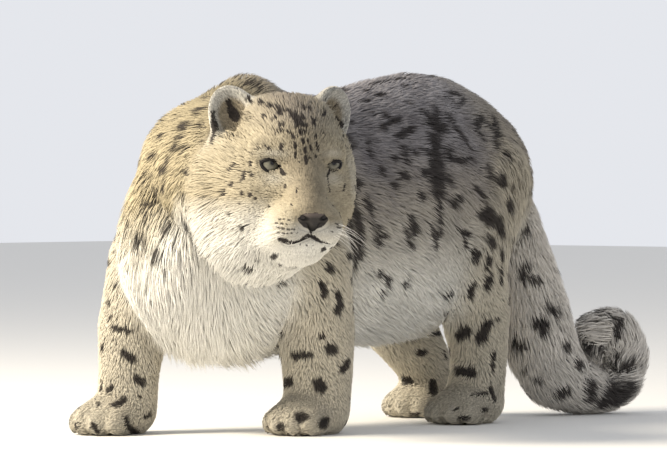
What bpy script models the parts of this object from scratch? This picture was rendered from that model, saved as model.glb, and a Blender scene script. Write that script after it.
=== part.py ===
"""A snow leopard in winter coat, life size, standing with its head turned to its left."""
import math

import bmesh
import bpy
import numpy as np
from mathutils import Matrix, Vector

# The animal faces -Y with its left side on +X. SHIFT brings the middle of its box over the origin.
SHIFT = (-0.1108, -0.1411)

GAP = 0.0003          # what touching pieces keep between their faces
TAIL_CUT = {3: 0.20, 5: 0.18, 7: 0.13, 9: 0.12}    # how wide each cut across the tail is
FLOOR_DEPTH = 0.05    # how deep the block below the soles is
BODY_VOXEL = 0.012
HEAD_VOXEL = 0.0062
PAW_VOXEL = 0.0075
BODY_TRIANGLES = 3200
HEAD_TRIANGLES = 2300
PAW_TRIANGLES = 230
EAR_TRIANGLES = 260

# The trunk from breast to rump: place along the body, top, underside and half width, over the coat.
TRUNK = [
    (-0.390, 0.480, 0.190, 0.100),
    (-0.335, 0.532, 0.140, 0.138),
    (-0.265, 0.586, 0.122, 0.156),
    (-0.190, 0.618, 0.125, 0.162),
    (-0.105, 0.584, 0.135, 0.160),
    (0.000, 0.578, 0.138, 0.165),
    (0.110, 0.606, 0.140, 0.170),
    (0.220, 0.623, 0.150, 0.164),
    (0.310, 0.618, 0.185, 0.150),
    (0.390, 0.592, 0.250, 0.130),
    (0.447, 0.560, 0.300, 0.104),
]
BREAST_CAP = 0.060    # how far the breast bulges before the first station
RUMP_CAP = 0.055
TRUNK_BOX = 2.3       # exponent of the trunk's section: 2 is an ellipse
TRUNK_PEAK = 1.75     # the same above the middle, where the back is narrower

# Lines of the limbs: points with the radius of the coat round them.
NECK = [(0.020, -0.290, 0.445, 0.122), (0.105, -0.335, 0.440, 0.124), (0.195, -0.362, 0.430, 0.110)]
RIGHT_FORELEG = [
    (-0.090, -0.270, 0.400, 0.070),
    (-0.122, -0.300, 0.290, 0.070),
    (-0.132, -0.330, 0.180, 0.060),
    (-0.130, -0.342, 0.100, 0.052),
    (-0.130, -0.345, 0.045, 0.050),
]
LEFT_FORELEG = [
    (0.090, -0.220, 0.400, 0.070),
    (0.120, -0.160, 0.290, 0.072),
    (0.120, -0.140, 0.180, 0.065),
    (0.116, -0.134, 0.100, 0.060),
    (0.116, -0.134, 0.045, 0.055),
]
LEFT_HINDLEG = [
    (0.066, 0.340, 0.430, 0.098),
    (0.095, 0.265, 0.300, 0.086),
    (0.104, 0.295, 0.200, 0.062),
    (0.102, 0.308, 0.120, 0.051),
    (0.100, 0.300, 0.045, 0.050),
]
RIGHT_HINDLEG = [
    (-0.066, 0.340, 0.430, 0.098),
    (-0.100, 0.275, 0.280, 0.088),
    (-0.102, 0.325, 0.170, 0.066),
    (-0.100, 0.395, 0.095, 0.050),
    (-0.100, 0.412, 0.045, 0.048),
]
TAIL = [
    (0.000, 0.430, 0.470, 0.062),
    (0.004, 0.482, 0.380, 0.064),
    (0.014, 0.520, 0.290, 0.065),
    (0.026, 0.548, 0.200, 0.068),
    (0.032, 0.564, 0.130, 0.070),
    (0.042, 0.590, 0.078, 0.066),
    (0.058, 0.636, 0.052, 0.055),
    (0.071, 0.674, 0.042, 0.045),
    (0.090, 0.716, 0.052, 0.041),
    (0.098, 0.734, 0.100, 0.040),
    (0.090, 0.716, 0.148, 0.040),
    (0.076, 0.684, 0.160, 0.037),
]
BLEND = 0.016         # how softly one mass runs into the next

# Under long hair the body is a core that reaches less than half way from skin to tips.
BREAST_HAIR = 0.026   # how far the breast's core stays inside its tips
BELLY_HAIR = 0.028
TAIL_CORE = 0.66      # the tail's core as a share of its radius over the coat
CHEEK_HAIR = 0.010

# Locks of long hair: spacing, length, width, thickness, how far tips stand out, and how freely they hang.
LOCKS = {
    "breast": (0.052, 0.098, 0.058, 0.012, 0.026, 0.10),
    "belly": (0.062, 0.098, 0.060, 0.013, 0.028, 0.25),
    "elbow": (0.050, 0.075, 0.044, 0.012, 0.018, 0.20),
    "tail": (0.048, 0.084, 0.056, 0.012, 0.024, 0.0),
    "cheek": (0.037, 0.060, 0.040, 0.008, 0.014, 0.15),
}
LOCK_RISE = 0.34      # how much of its stand a lock has half way along
LOCK_WIDTHS = (0.50, 1.00, 0.66)
LOCK_PLACES = (0.0, 0.36, 0.74)
LOCK_THINS = 0.45     # how much thinner a lock is at its tip
LOCK_SINK = 0.95      # how deep a root sits, in thicknesses of its lock
LOCK_VARIES = 0.14
LOCK_SWINGS = 0.20    # radians that a lock may lie aside
CURL_MIDDLE = (0.060, 0.645, 0.125)
CURL_REACH = 0.13
SEED = 7

# Where locks grow, in metres. A place's way out is the x, y or z share of the normal there.
LOCKS_OFF_LEGS = {"breast": 0.012, "belly": 0.014}    # how far these keep from the legs
BREAST_TOP, BREAST_FLOOR = 0.385, 0.17
BREAST_TOP_FALLS = 0.3          # how fast the top drops towards the head's side
BREAST_BACK = -0.315            # breast locks stand in front of here
BREAST_HALF_WIDTH = 0.125
BREAST_FACING = -0.05
THROAT_FACING = -0.35
THROAT_FROM_X = 0.02
THROAT_REACH = 0.02
BELLY_FACING, BELLY_TOP = -0.34, 0.25
BELLY_FROM_Y, BELLY_TO_Y = -0.36, 0.30
ELBOW_FACING = 0.55
ELBOW_HEIGHTS = (0.135, 0.30)
ELBOW_REACH = 0.004
TAIL_REACH = 0.006
TAIL_INWARD = 0.35              # the cosine from which a place faces the inside of the curl
TAIL_TOP, TAIL_FROM_Y = 0.37, 0.44
CHEEK_AHEAD, CHEEK_UP = (-0.115, -0.052), (-0.125, -0.012)
CHEEK_SIDE = 0.055
THROAT_AHEAD, THROAT_UP = (-0.115, -0.030), -0.115

# Edges shorter than these are closed after the unions, which leave many of them.
SHORT_EDGE = 0.0030
SHORT_ON_FACE = 0.0007          # the same on head and ears, whose forms are finer
ON_FLAT = 5e-6                  # how near a corner lies to a flat face to count as on it
SMALLEST_FACE = 1e-8
STILL_FACING = 0.75             # how much a face may turn when an edge closes, as a cosine
CLOSING_ROUNDS = 12

PAWS = {  # middle of each paw on the floor, and its heading from -Y towards +X in degrees
    "right_forepaw": (-0.132, -0.378, 6),
    "left_forepaw": (0.118, -0.166, 8),
    "left_hindpaw": (0.102, 0.272, 4),
    "right_hindpaw": (-0.102, 0.392, -4),
}
PAW_HALF = (0.055, 0.068, 0.036)
TOE_HALF = (0.0175, 0.030, 0.024)
TOE_ROW = [(-0.040, -0.034), (-0.0145, -0.052), (0.0145, -0.052), (0.040, -0.034)]

# The head's own frame: forward, left and up from the point midway between the eyes.
EYES_AT = (0.355, -0.434, 0.4565)
FACE_TURN = 61        # degrees from -Y towards the animal's left
HEAD_MASSES = [  # middle and half sizes along forward, left, up
    ((-0.085, 0.000, 0.030), (0.085, 0.086, 0.080)),
    ((-0.040, 0.000, 0.032), (0.052, 0.064, 0.050)),
    ((-0.045, 0.000, -0.030), (0.056, 0.068, 0.068)),
    ((-0.070, 0.054, -0.045), (0.060, 0.050 - CHEEK_HAIR, 0.066)),
    ((-0.070, -0.054, -0.045), (0.060, 0.050 - CHEEK_HAIR, 0.066)),
    ((-0.070, 0.000, -0.090), (0.070, 0.066, 0.056)),
    ((0.010, 0.026, -0.098), (0.036, 0.029, 0.029)),
    ((0.010, -0.026, -0.098), (0.036, 0.029, 0.029)),
    ((-0.006, 0.000, -0.126), (0.037, 0.032, 0.029)),
]
BRIDGE = [(-0.012, 0.0, 0.010, 0.026), (0.014, 0.0, -0.040, 0.024), (0.030, 0.0, -0.074, 0.024)]
BROWS = [(-0.008, 0.032, 0.019, 0.012), (-0.022, 0.062, 0.024, 0.014)]
HEAD_BLEND = 0.006

EYE_RADIUS = 0.0165
EYE_PLACE = (-0.0155, 0.0525, 0.0)
SOCKET_HALF = (0.015, 0.019, 0.013)
SOCKET_PLACE = (0.012, 0.0530, -0.001)
LID_RADIUS = 0.0040
LID_HALF = (0.0165, 0.0120)
LID_CORNER = (0.006, 0.004)
LID_POINTS = 14
NOSE_PLACE = (0.046, 0.0, -0.084)
NOSE_HALF = (0.016, 0.029, 0.017)
NOSTRIL_PLACE = (0.062, 0.013, -0.083)
NOSTRIL_HALF = (0.009, 0.0045, 0.0040)
MOUTH = [(0.041, -0.125), (0.030, -0.121), (0.018, -0.118), (0.008, -0.1155), (0.0, -0.113)]
MOUTH_DEPTH = 0.0030
LIP_RADIUS = 0.0045
LIP_DROP = 0.0070
LIP_SUNK = 0.0025

EAR_PLACE = (-0.105, 0.078, 0.078)
EAR_HALF = (0.020, 0.036, 0.050)      # thickness, width and height, each from the middle
EAR_CUP_HALF = (0.018, 0.027, 0.041)
EAR_CUP_AHEAD = 0.013
EAR_LEAN = 22         # degrees that each ear leans out
EAR_GAP = 0.0005      # a little over the common gap, as the head's faces are redrawn after the cuts
EAR_OPEN = 24         # degrees that each cup looks out to its side

COLOURS = {
    "fur": (0.62, 0.58, 0.50),
    "pale": (0.86, 0.83, 0.76),
    "nose": (0.10, 0.075, 0.07),
    "eye": (0.45, 0.50, 0.38),
}


def clear_scene():
    for thing in list(bpy.data.objects):
        bpy.data.objects.remove(thing, do_unlink=True)


def material(name, roughness=0.8):
    found = bpy.data.materials.get(name)
    if found:
        return found
    made = bpy.data.materials.new(name)
    made.use_nodes = True
    shader = made.node_tree.nodes["Principled BSDF"]
    shader.inputs["Base Color"].default_value = (*COLOURS[name], 1)
    shader.inputs["Roughness"].default_value = roughness
    return made


def link(name, mesh):
    thing = bpy.data.objects.new(name, mesh)
    bpy.context.scene.collection.objects.link(thing)
    return thing


def mesh_from(name, build):
    """A mesh filled by a function that draws into a bmesh."""
    shape = bmesh.new()
    build(shape)
    bmesh.ops.recalc_face_normals(shape, faces=shape.faces)
    mesh = bpy.data.meshes.new(name)
    shape.to_mesh(mesh)
    shape.free()
    return mesh


def evaluated(thing):
    """The object's mesh with its modifiers applied, in the object's own place."""
    view = bpy.context.evaluated_depsgraph_get()
    view.update()
    mesh = bpy.data.meshes.new_from_object(thing.evaluated_get(view))
    return mesh


def apply_all(thing):
    mesh = evaluated(thing)
    thing.modifiers.clear()
    thing.data = mesh


def ellipsoid_field(points, middle, half):
    inside = (points - np.array(middle)) / np.array(half)
    size = np.linalg.norm(inside, axis=1)
    slope = np.linalg.norm(inside / np.array(half), axis=1)
    return size * (size - 1) / np.maximum(slope, 1e-9)


def line_field(points, line):
    """Distance to a run of round cones."""
    near = []
    for a, b in zip(line, line[1:]):
        start = np.array(a[:3])
        way = np.array(b[:3]) - start
        along = np.clip((points - start) @ way / (way @ way), 0, 1)
        radius = a[3] + along * (b[3] - a[3])
        near.append(np.linalg.norm(points - start - along[:, None] * way, axis=1) - radius)
    return np.min(near, axis=0)


def trunk_field(points):
    """Distance, near enough, to rings of the trunk's section, with round ends."""
    rows = np.array(TRUNK)
    y = np.clip(points[:, 1], rows[0, 0], rows[-1, 0])
    top, low, half = (np.interp(y, rows[:, 0], rows[:, i]) for i in (1, 2, 3))
    middle = (top + low) / 2
    middle = middle + BELLY_HAIR / 2
    height = (top - low - BELLY_HAIR) / 2
    cap = np.where(points[:, 1] < 0, BREAST_CAP - BREAST_HAIR, RUMP_CAP)
    past = (points[:, 1] - y) / cap
    across = np.abs(points[:, 0]) / half
    up = np.abs(points[:, 2] - middle) / height
    power = np.where(points[:, 2] > middle, TRUNK_PEAK, TRUNK_BOX)
    ring = (across ** power + up ** power) ** (1 / power)
    return (np.sqrt(ring ** 2 + past ** 2) - 1) * np.minimum(half, height) * 0.8


def blended(fields, soft):
    """The smooth union of some distances."""
    stack = np.array(fields)
    least = stack.min(axis=0)
    return least - soft * np.log(np.exp(-(stack - least) / soft).sum(axis=0))


TAIL_FORM = [(x, y, z, r * TAIL_CORE) for x, y, z, r in TAIL]
LIMBS = [NECK, RIGHT_FORELEG, LEFT_FORELEG, LEFT_HINDLEG, RIGHT_HINDLEG, TAIL_FORM]


def body_field(points):
    return blended([trunk_field(points)] + [line_field(points, limb) for limb in LIMBS], BLEND)


def head_field(points):
    """The head's masses joined softly, less the hollows of the eyes, in the head's own frame."""
    masses = [ellipsoid_field(points, middle, half) for middle, half in HEAD_MASSES]
    masses.append(line_field(points, BRIDGE))
    for side in (1, -1):
        masses.append(line_field(points, [(f, side * l, u, r) for f, l, u, r in BROWS]))
    solid = blended(masses, HEAD_BLEND)
    for side in (1, -1):
        place = (SOCKET_PLACE[0], side * SOCKET_PLACE[1], SOCKET_PLACE[2])
        hollow = ellipsoid_field(points, place, SOCKET_HALF)
        solid = -blended([-solid, hollow], HEAD_BLEND)
    return solid


def paw_field(points):
    """One paw heading along -Y from its middle on the floor."""
    masses = [ellipsoid_field(points, (0, 0, PAW_HALF[2] - 0.005), PAW_HALF)]
    for across, ahead in TOE_ROW:
        masses.append(ellipsoid_field(points, (across, ahead, TOE_HALF[2] - 0.004), TOE_HALF))
    return blended(masses, 0.004)


def add_ball(shape, middle, half, detail=3):
    fresh = bmesh.ops.create_icosphere(shape, subdivisions=detail, radius=1)["verts"]
    bmesh.ops.scale(shape, vec=half, verts=fresh)
    bmesh.ops.translate(shape, vec=middle, verts=fresh)


def add_line_balls(shape, line, detail=2):
    """Balls close together along a limb, as a rough form of it."""
    for a, b in zip(line, line[1:]):
        steps = max(2, int((Vector(b[:3]) - Vector(a[:3])).length / 0.02))
        for i in range(steps + 1):
            part = Vector(a).lerp(Vector(b), i / steps)
            add_ball(shape, part[:3], [part[3]] * 3, detail)


def add_trunk(shape, sides=28):
    """Rings of the trunk, closed at both ends."""
    rings = []
    for y, top, low, half in TRUNK:
        ring = []
        for i in range(sides):
            turn = 2 * math.pi * i / sides
            x = half * math.cos(turn)
            z = (top + low) / 2 + (top - low) / 2 * math.sin(turn)
            ring.append(shape.verts.new((x, y, z)))
        rings.append(ring)
    for one, two in zip(rings, rings[1:]):
        for i in range(sides):
            j = (i + 1) % sides
            shape.faces.new((one[i], one[j], two[j], two[i]))
    shape.faces.new(rings[0])
    shape.faces.new(rings[-1][::-1])


def slope_of(field, points, step=0.0005):
    """The field and its slope at some points."""
    value = field(points)
    slope = np.empty_like(points)
    for axis in range(3):
        ahead = points.copy()
        ahead[:, axis] += step
        slope[:, axis] = (field(ahead) - value) / step
    return value, slope


def settle(mesh, field, rounds=7):
    """Bring a rough mesh onto the zero of a field, smoothing it a little on the way."""
    count = len(mesh.vertices)
    flat = np.empty(count * 3)
    mesh.vertices.foreach_get("co", flat)
    points = flat.reshape(-1, 3)
    edges = np.empty(len(mesh.edges) * 2, dtype=np.int64)
    mesh.edges.foreach_get("vertices", edges)
    edges = edges.reshape(-1, 2)
    degree = np.bincount(edges.ravel(), minlength=count)[:, None]
    for turn in range(rounds):
        if turn < rounds - 3:
            total = np.zeros_like(points)
            np.add.at(total, edges[:, 0], points[edges[:, 1]])
            np.add.at(total, edges[:, 1], points[edges[:, 0]])
            points = points * 0.5 + 0.5 * total / np.maximum(degree, 1)
        value, slope = slope_of(field, points)
        size = np.maximum((slope ** 2).sum(axis=1), 0.04)
        move = -(value / size)[:, None] * slope
        length = np.linalg.norm(move, axis=1)[:, None]
        points = points + move * np.minimum(1, 0.012 / np.maximum(length, 1e-9))
    mesh.vertices.foreach_set("co", points.ravel())


def thin_out(thing, triangles):
    """Leave about so many triangles."""
    triangulate = thing.modifiers.new("triangles", "TRIANGULATE")
    triangulate.quad_method = "BEAUTY"
    apply_all(thing)
    fewer = thing.modifiers.new("fewer", "DECIMATE")
    fewer.ratio = min(1.0, triangles / len(thing.data.polygons))
    apply_all(thing)


def moulded(name, rough, field, voxel, triangles):
    """A closed mesh of about so many triangles on a field's zero, started from rough balls."""
    thing = link(name, mesh_from(name, rough))
    remesh = thing.modifiers.new("fuse", "REMESH")
    remesh.mode = "VOXEL"
    remesh.voxel_size = voxel
    apply_all(thing)
    settle(thing.data, field)
    thin_out(thing, triangles)
    return thing


def head_matrix():
    turn = math.radians(FACE_TURN)
    forward = Vector((math.sin(turn), -math.cos(turn), 0))
    left = Vector((math.cos(turn), math.sin(turn), 0))
    up = Vector((0, 0, 1))
    frame = Matrix((forward, left, up)).transposed().to_4x4()
    return Matrix.Translation(EYES_AT) @ frame


def make_body():
    def rough(shape):
        add_trunk(shape)
        for limb in LIMBS:
            add_line_balls(shape, limb)

    return moulded("body", rough, body_field, BODY_VOXEL, BODY_TRIANGLES)


def make_head():
    def rough(shape):
        for middle, half in HEAD_MASSES:
            add_ball(shape, middle, half)
        add_line_balls(shape, BRIDGE)

    return moulded("head_form", rough, head_field, HEAD_VOXEL, HEAD_TRIANGLES)


def make_paws():
    made = []
    for name, (x, y, heading) in PAWS.items():
        def rough(shape):
            add_ball(shape, (0, 0, PAW_HALF[2] - 0.005), PAW_HALF)
            for across, ahead in TOE_ROW:
                add_ball(shape, (across, ahead, TOE_HALF[2] - 0.004), TOE_HALF)

        paw = moulded(name + "_form", rough, paw_field, PAW_VOXEL, PAW_TRIANGLES)
        turn = Matrix.Rotation(math.radians(heading), 4, "Z")
        paw.data.transform(Matrix.Translation((x, y, 0)) @ turn)
        made.append(paw)
    return made


def ball(name, middle, half, detail=3, turn=None):
    def build(shape):
        add_ball(shape, (0, 0, 0), half, detail)

    mesh = mesh_from(name, build)
    frame = Matrix.Translation(middle)
    mesh.transform(frame @ turn if turn else frame)
    return link(name, mesh)


def on_surface(field, spots):
    """The nearest places on a field's zero, and which way is out there."""
    points = np.array(spots, dtype=float)
    for _ in range(5):
        value, slope = slope_of(field, points)
        points = points - (value / np.maximum((slope ** 2).sum(axis=1), 0.04))[:, None] * slope
    slope = slope_of(field, points)[1]
    return points, slope / np.linalg.norm(slope, axis=1)[:, None]


def scatter(thing, wanted, spacing, draw, tries=9000):
    """Places spread over the wanted part of a surface, none nearer to another than the spacing."""
    mesh = thing.data
    mesh.calc_loop_triangles()
    corners = np.array([[mesh.vertices[i].co[:] for i in face.vertices] for face in mesh.loop_triangles])
    areas = np.linalg.norm(np.cross(corners[:, 1] - corners[:, 0], corners[:, 2] - corners[:, 0]), axis=1)
    chosen = corners[draw.choice(len(areas), tries, p=areas / areas.sum())]
    a = np.sqrt(draw.random((tries, 1)))
    b = draw.random((tries, 1))
    spots = chosen[:, 0] * (1 - a) + chosen[:, 1] * a * (1 - b) + chosen[:, 2] * a * b
    kept = []
    for spot in spots[wanted(spots)]:
        if all(np.linalg.norm(spot - other) > spacing for other in kept):
            kept.append(spot)
    return kept


def lock(name, path, sides, normals, width, thick):
    """A tapered lock along a bent path: flat below, ridged above, and closed to a point at its tip."""
    def build(shape):
        rings = []
        for place, share in zip(LOCK_PLACES, LOCK_WIDTHS):
            start, middle, tip = path
            spot = start * (1 - place) ** 2 + middle * 2 * place * (1 - place) + tip * place ** 2
            out = (normals[0] * (1 - place) + normals[1] * place).normalized()
            across = (sides - out * sides.dot(out)).normalized()
            half = across * width / 2 * share
            up = out * thick * (1 - LOCK_THINS * place)
            rings.append([shape.verts.new(spot + way) for way in (half, up, -half)])
        for one, two in zip(rings, rings[1:]):
            for k in range(3):
                j = (k + 1) % 3
                shape.faces.new((one[k], one[j], two[j], two[k]))
        point = shape.verts.new(path[2])
        for k in range(3):
            shape.faces.new((rings[-1][k], rings[-1][(k + 1) % 3], point))
        shape.faces.new(rings[0][::-1])

    return link(name, mesh_from(name, build))


def make_locks(kind, thing, field, wanted, lie, draw):
    """Overlapping locks over one part of the coat, each following the surface that it grows from."""
    spacing, length, width, thick, stand, hang = LOCKS[kind]
    made = []
    for spot in scatter(thing, wanted, spacing, draw):
        grow, wide, swing, rise = draw.uniform(-1, 1, 4)
        long = length * (1 + LOCK_VARIES * grow)
        (root,), (out,) = on_surface(field, [spot])
        root, out = Vector(root), Vector(out)
        way = Vector(lie(root))
        way = (way - out * way.dot(out)).normalized()
        way = (Matrix.Rotation(LOCK_SWINGS * swing, 3, out) @ way).normalized()
        places, outs = on_surface(field, [root + way * long * 0.5, root + way * long])
        bend, tip = Vector(places[0]), Vector(places[1])
        lift = stand * (1 + LOCK_VARIES * rise)
        tip = tip + Vector(outs[1]) * lift
        free = root + (way + Vector(lie(root)).normalized()).normalized() * long + out * lift
        tip = tip.lerp(free, hang)
        path = (root - out * thick * LOCK_SINK, bend + Vector(outs[0]) * (lift * LOCK_RISE), tip)
        side = way.cross(out)
        size = width * (1 + LOCK_VARIES * wide)
        made.append(lock(f"{kind}_lock_{len(made)}", path, side, (out, Vector(outs[1])), size, thick))
    print(kind, "locks", len(made))
    return made


def leg_distance(points):
    return np.min([line_field(points, limb) for limb in LIMBS[1:5]], axis=0)


def way_out(points):
    """The x, y and z shares of the body's normal at some places."""
    return on_surface(body_field, points)[1].T


def between(values, limits):
    return (values > limits[0]) & (values < limits[1])


def breast_part(points):
    """The breast and the underside of the throat, clear of the legs."""
    x, y, z = points.T
    _, out_y, out_z = way_out(points)
    low = z < BREAST_TOP - BREAST_TOP_FALLS * np.maximum(x - 0.10, 0)
    front = (y < BREAST_BACK) & (out_y < BREAST_FACING) & low & (np.abs(x) < BREAST_HALF_WIDTH)
    throat = (line_field(points, NECK) < THROAT_REACH) & (out_z < THROAT_FACING) & (x > THROAT_FROM_X)
    return (leg_distance(points) > LOCKS_OFF_LEGS["breast"]) & (front | throat) & (z > BREAST_FLOOR)


def belly_part(points):
    _, y, z = points.T
    under = (way_out(points)[2] < BELLY_FACING) & (z < BELLY_TOP) & between(y, (BELLY_FROM_Y, BELLY_TO_Y))
    return under & (leg_distance(points) > LOCKS_OFF_LEGS["belly"])


def elbow_part(points):
    near = np.min([line_field(points, limb) for limb in LIMBS[1:3]], axis=0) < ELBOW_REACH
    return near & (way_out(points)[1] > ELBOW_FACING) & between(points[:, 2], ELBOW_HEIGHTS)


def tail_part(points):
    """The tail below its root, without the inside of its curl, where the hair lies pressed."""
    _, y, z = points.T
    out = way_out(points).T
    inward = np.array(CURL_MIDDLE) - points
    away = np.linalg.norm(inward, axis=1)
    inside = ((inward * out).sum(axis=1) > TAIL_INWARD * away) & (away < CURL_REACH)
    near = line_field(points, TAIL_FORM[2:]) < TAIL_REACH
    return near & ~inside & (z < TAIL_TOP) & (y > TAIL_FROM_Y)


def tail_way(spot):
    """Along the tail towards its tip."""
    steps = [(Vector(a[:3]), Vector(b[:3])) for a, b in zip(TAIL, TAIL[1:])]
    start, end = min(steps, key=lambda step: (step[0].lerp(step[1], 0.5) - spot).length)
    return end - start


def breast_way(spot):
    return (0, 0.18, -1)


def belly_way(spot):
    return (0, 0.70, -0.70)


def elbow_way(spot):
    return (0, 0.40, -0.90)


def cheek_part(points):
    ahead, side, up = points.T
    cheek = (np.abs(side) > CHEEK_SIDE) & between(ahead, CHEEK_AHEAD) & between(up, CHEEK_UP)
    throat = between(ahead, THROAT_AHEAD) & (up < THROAT_UP)
    return cheek | throat


def cheek_way(spot):
    """Back and down the cheek, and straight down the throat between the cheeks."""
    side = 0 if abs(spot[1]) < 0.02 else math.copysign(1, spot[1])
    return (-0.55, side * 0.22, -0.72)


def tube(name, points, radius, sides=6, closed=False):
    """A round tube along some points, thinner to its ends unless it closes on itself."""
    path = [Vector(p) for p in points]
    count = len(path)

    def build(shape):
        rings = []
        side = None
        for i, spot in enumerate(path):
            before = path[(i - 1) % count] if closed else path[max(i - 1, 0)]
            after = path[(i + 1) % count] if closed else path[min(i + 1, count - 1)]
            ahead = (after - before).normalized()
            side = ahead.orthogonal() if side is None else side
            side = (side - ahead * side.dot(ahead)).normalized()
            other = ahead.cross(side)
            size = radius * (0.35 if not closed and i in (0, count - 1) else 1)
            ring = []
            for k in range(sides):
                turn = 2 * math.pi * k / sides
                ring.append(shape.verts.new(spot + (side * math.cos(turn) + other * math.sin(turn)) * size))
            rings.append(ring)
        pairs = list(zip(rings, rings[1:] + rings[:1])) if closed else list(zip(rings, rings[1:]))
        for one, two in pairs:
            for k in range(sides):
                j = (k + 1) % sides
                shape.faces.new((one[k], one[j], two[j], two[k]))
        if not closed:
            shape.faces.new(rings[0])
            shape.faces.new(rings[-1][::-1])

    return link(name, mesh_from(name, build))


def grown(thing, by):
    """A copy of a closed mesh with its surface moved out a little."""
    twin = link(thing.name + "_grown", thing.data.copy())
    for vert in twin.data.vertices:
        vert.co = vert.co + vert.normal * by
    return twin


def make_ear(side):
    """One ear with its cup, in the head's frame."""
    outer = ball(f"ear_outer_{side}", (0, 0, 0), EAR_HALF, 3)
    cup = ball(f"ear_cup_{side}", (EAR_CUP_AHEAD, 0, 0.002), EAR_CUP_HALF, 3)
    cut = outer.modifiers.new("cup", "BOOLEAN")
    cut.operation = "DIFFERENCE"
    cut.solver = "EXACT"
    cut.object = cup
    apply_all(outer)
    bpy.data.objects.remove(cup, do_unlink=True)
    thin_out(outer, EAR_TRIANGLES)
    place = Matrix.Translation((EAR_PLACE[0], side * EAR_PLACE[1], EAR_PLACE[2]))
    lean = Matrix.Rotation(math.radians(-side * EAR_LEAN), 4, "X")
    look = Matrix.Rotation(math.radians(side * EAR_OPEN), 4, "Z")
    outer.data.transform(head_matrix() @ place @ look @ lean)
    return outer


def make_ears(neighbours):
    """Both ears, each cut to meet the head it grows from."""
    for side, name in ((1, "left_ear"), (-1, "right_ear")):
        ear = make_ear(side)
        cut_all(ear, [grown(other, EAR_GAP) for other in neighbours])
        part_body(ear, {name: head_point(EAR_PLACE[0], side * EAR_PLACE[1], EAR_PLACE[2])})


def make_lids():
    """A rim of lid round each eye: almond, with its inner corner drawn down towards the nose."""
    made = []
    for side in (1, -1):
        rim = []
        for i in range(LID_POINTS):
            turn = 2 * math.pi * i / LID_POINTS
            across = LID_HALF[0] * math.cos(turn)
            rise = LID_HALF[1] * math.sin(turn)
            inner = max(0.0, -math.cos(turn)) ** 3
            across -= inner * LID_CORNER[0]
            rise -= inner * LID_CORNER[1]
            ahead = math.sqrt(max(EYE_RADIUS ** 2 - 0.7 * (across ** 2 + rise ** 2), 0))
            rim.append((EYE_PLACE[0] + ahead, side * (EYE_PLACE[1] + across), EYE_PLACE[2] + rise))
        lid = tube(f"lid_{side}", rim, LID_RADIUS, 5, closed=True)
        lid.data.transform(head_matrix())
        made.append(lid)
    return made


def on_face(across, up):
    """How far forward the face reaches at a place."""
    ahead = np.linspace(0.07, -0.06, 131)
    points = np.stack([ahead, np.full(131, across), np.full(131, up)], axis=1)
    inside = head_field(points) < 0
    return float(ahead[np.argmax(inside)])


def mouth_line(drop=0.0, sunk=0.0):
    """The line of the mouth from corner to corner on the face, let down and sunk in a little."""
    half = [(l, u - drop) for l, u in MOUTH]
    line = half + [(-l, u) for l, u in half[:-1][::-1]]
    return [(on_face(l, u) - sunk, l, u) for l, u in line]


def make_lip():
    lip = tube("lower_lip", mouth_line(LIP_DROP, LIP_SUNK), LIP_RADIUS)
    lip.data.transform(head_matrix())
    return lip


# Both helpers below use MANIFOLD: tried on this part, EXACT left open edges where the locks cross,
# and the cuts then didn't part the body.
def join_all(base, others):
    """Fuse closed meshes to the base in one union, then take the others away."""
    group = bpy.data.collections.new("pieces")
    bpy.context.scene.collection.children.link(group)
    for thing in others:
        bpy.context.scene.collection.objects.unlink(thing)
        group.objects.link(thing)
    union = base.modifiers.new("union", "BOOLEAN")
    union.operation = "UNION"
    union.operand_type = "COLLECTION"
    union.collection = group
    union.solver = "MANIFOLD"
    apply_all(base)
    for thing in list(group.objects):
        bpy.data.objects.remove(thing, do_unlink=True)
    bpy.data.collections.remove(group)


def cut_all(base, others):
    """Cut closed meshes out of the base in one go, then take them away."""
    group = bpy.data.collections.new("cutters")
    bpy.context.scene.collection.children.link(group)
    for thing in others:
        bpy.context.scene.collection.objects.unlink(thing)
        group.objects.link(thing)
    cut = base.modifiers.new("cut", "BOOLEAN")
    cut.operation = "DIFFERENCE"
    cut.operand_type = "COLLECTION"
    cut.collection = group
    cut.solver = "MANIFOLD"
    apply_all(base)
    for thing in list(group.objects):
        bpy.data.objects.remove(thing, do_unlink=True)
    bpy.data.collections.remove(group)


FLAT_FACES = [(Vector((0, 0, GAP / 2)), Vector((0, 0, 1)))]  # the floor's, then each thin cut's


def slab(name, middle, facing, across, size):
    """A cut as thin as the gap: facing is its normal, across the way of its first size."""
    normal = Vector(facing).normalized()
    FLAT_FACES.append((Vector(middle), normal))
    first = Vector(across)
    first = (first - normal * first.dot(normal)).normalized()
    second = normal.cross(first)
    frame = Matrix((first, second, normal)).transposed().to_4x4()

    def build(shape):
        bmesh.ops.create_cube(shape, size=1)
        bmesh.ops.scale(shape, vec=(size[0], size[1], GAP), verts=shape.verts)

    mesh = mesh_from(name, build)
    mesh.transform(Matrix.Translation(middle) @ frame)
    return link(name, mesh)


def limb_slab(name, line, index, part, size):
    """A cut square across a limb's line, part of the way along one stretch."""
    a, b = Vector(line[index][:3]), Vector(line[index + 1][:3])
    return slab(name, a.lerp(b, part), b - a, (1, 0, 0.01), (size, size))


def head_point(f, l, u):
    return head_matrix() @ Vector((f, l, u))


def head_way(f, l, u):
    return head_matrix().to_3x3() @ Vector((f, l, u))


def height_slab(name, line, z, size):
    """A level cut through a leg at a height, centred on the leg there."""
    for a, b in zip(line, line[1:]):
        if b[2] <= z <= a[2]:
            part = (a[2] - z) / (a[2] - b[2])
            x, y = (a[i] + part * (b[i] - a[i]) for i in (0, 1))
            return slab(name, (x, y, z), (0, 0, 1), (1, 0, 0), size)
    raise ValueError(name)


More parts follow.
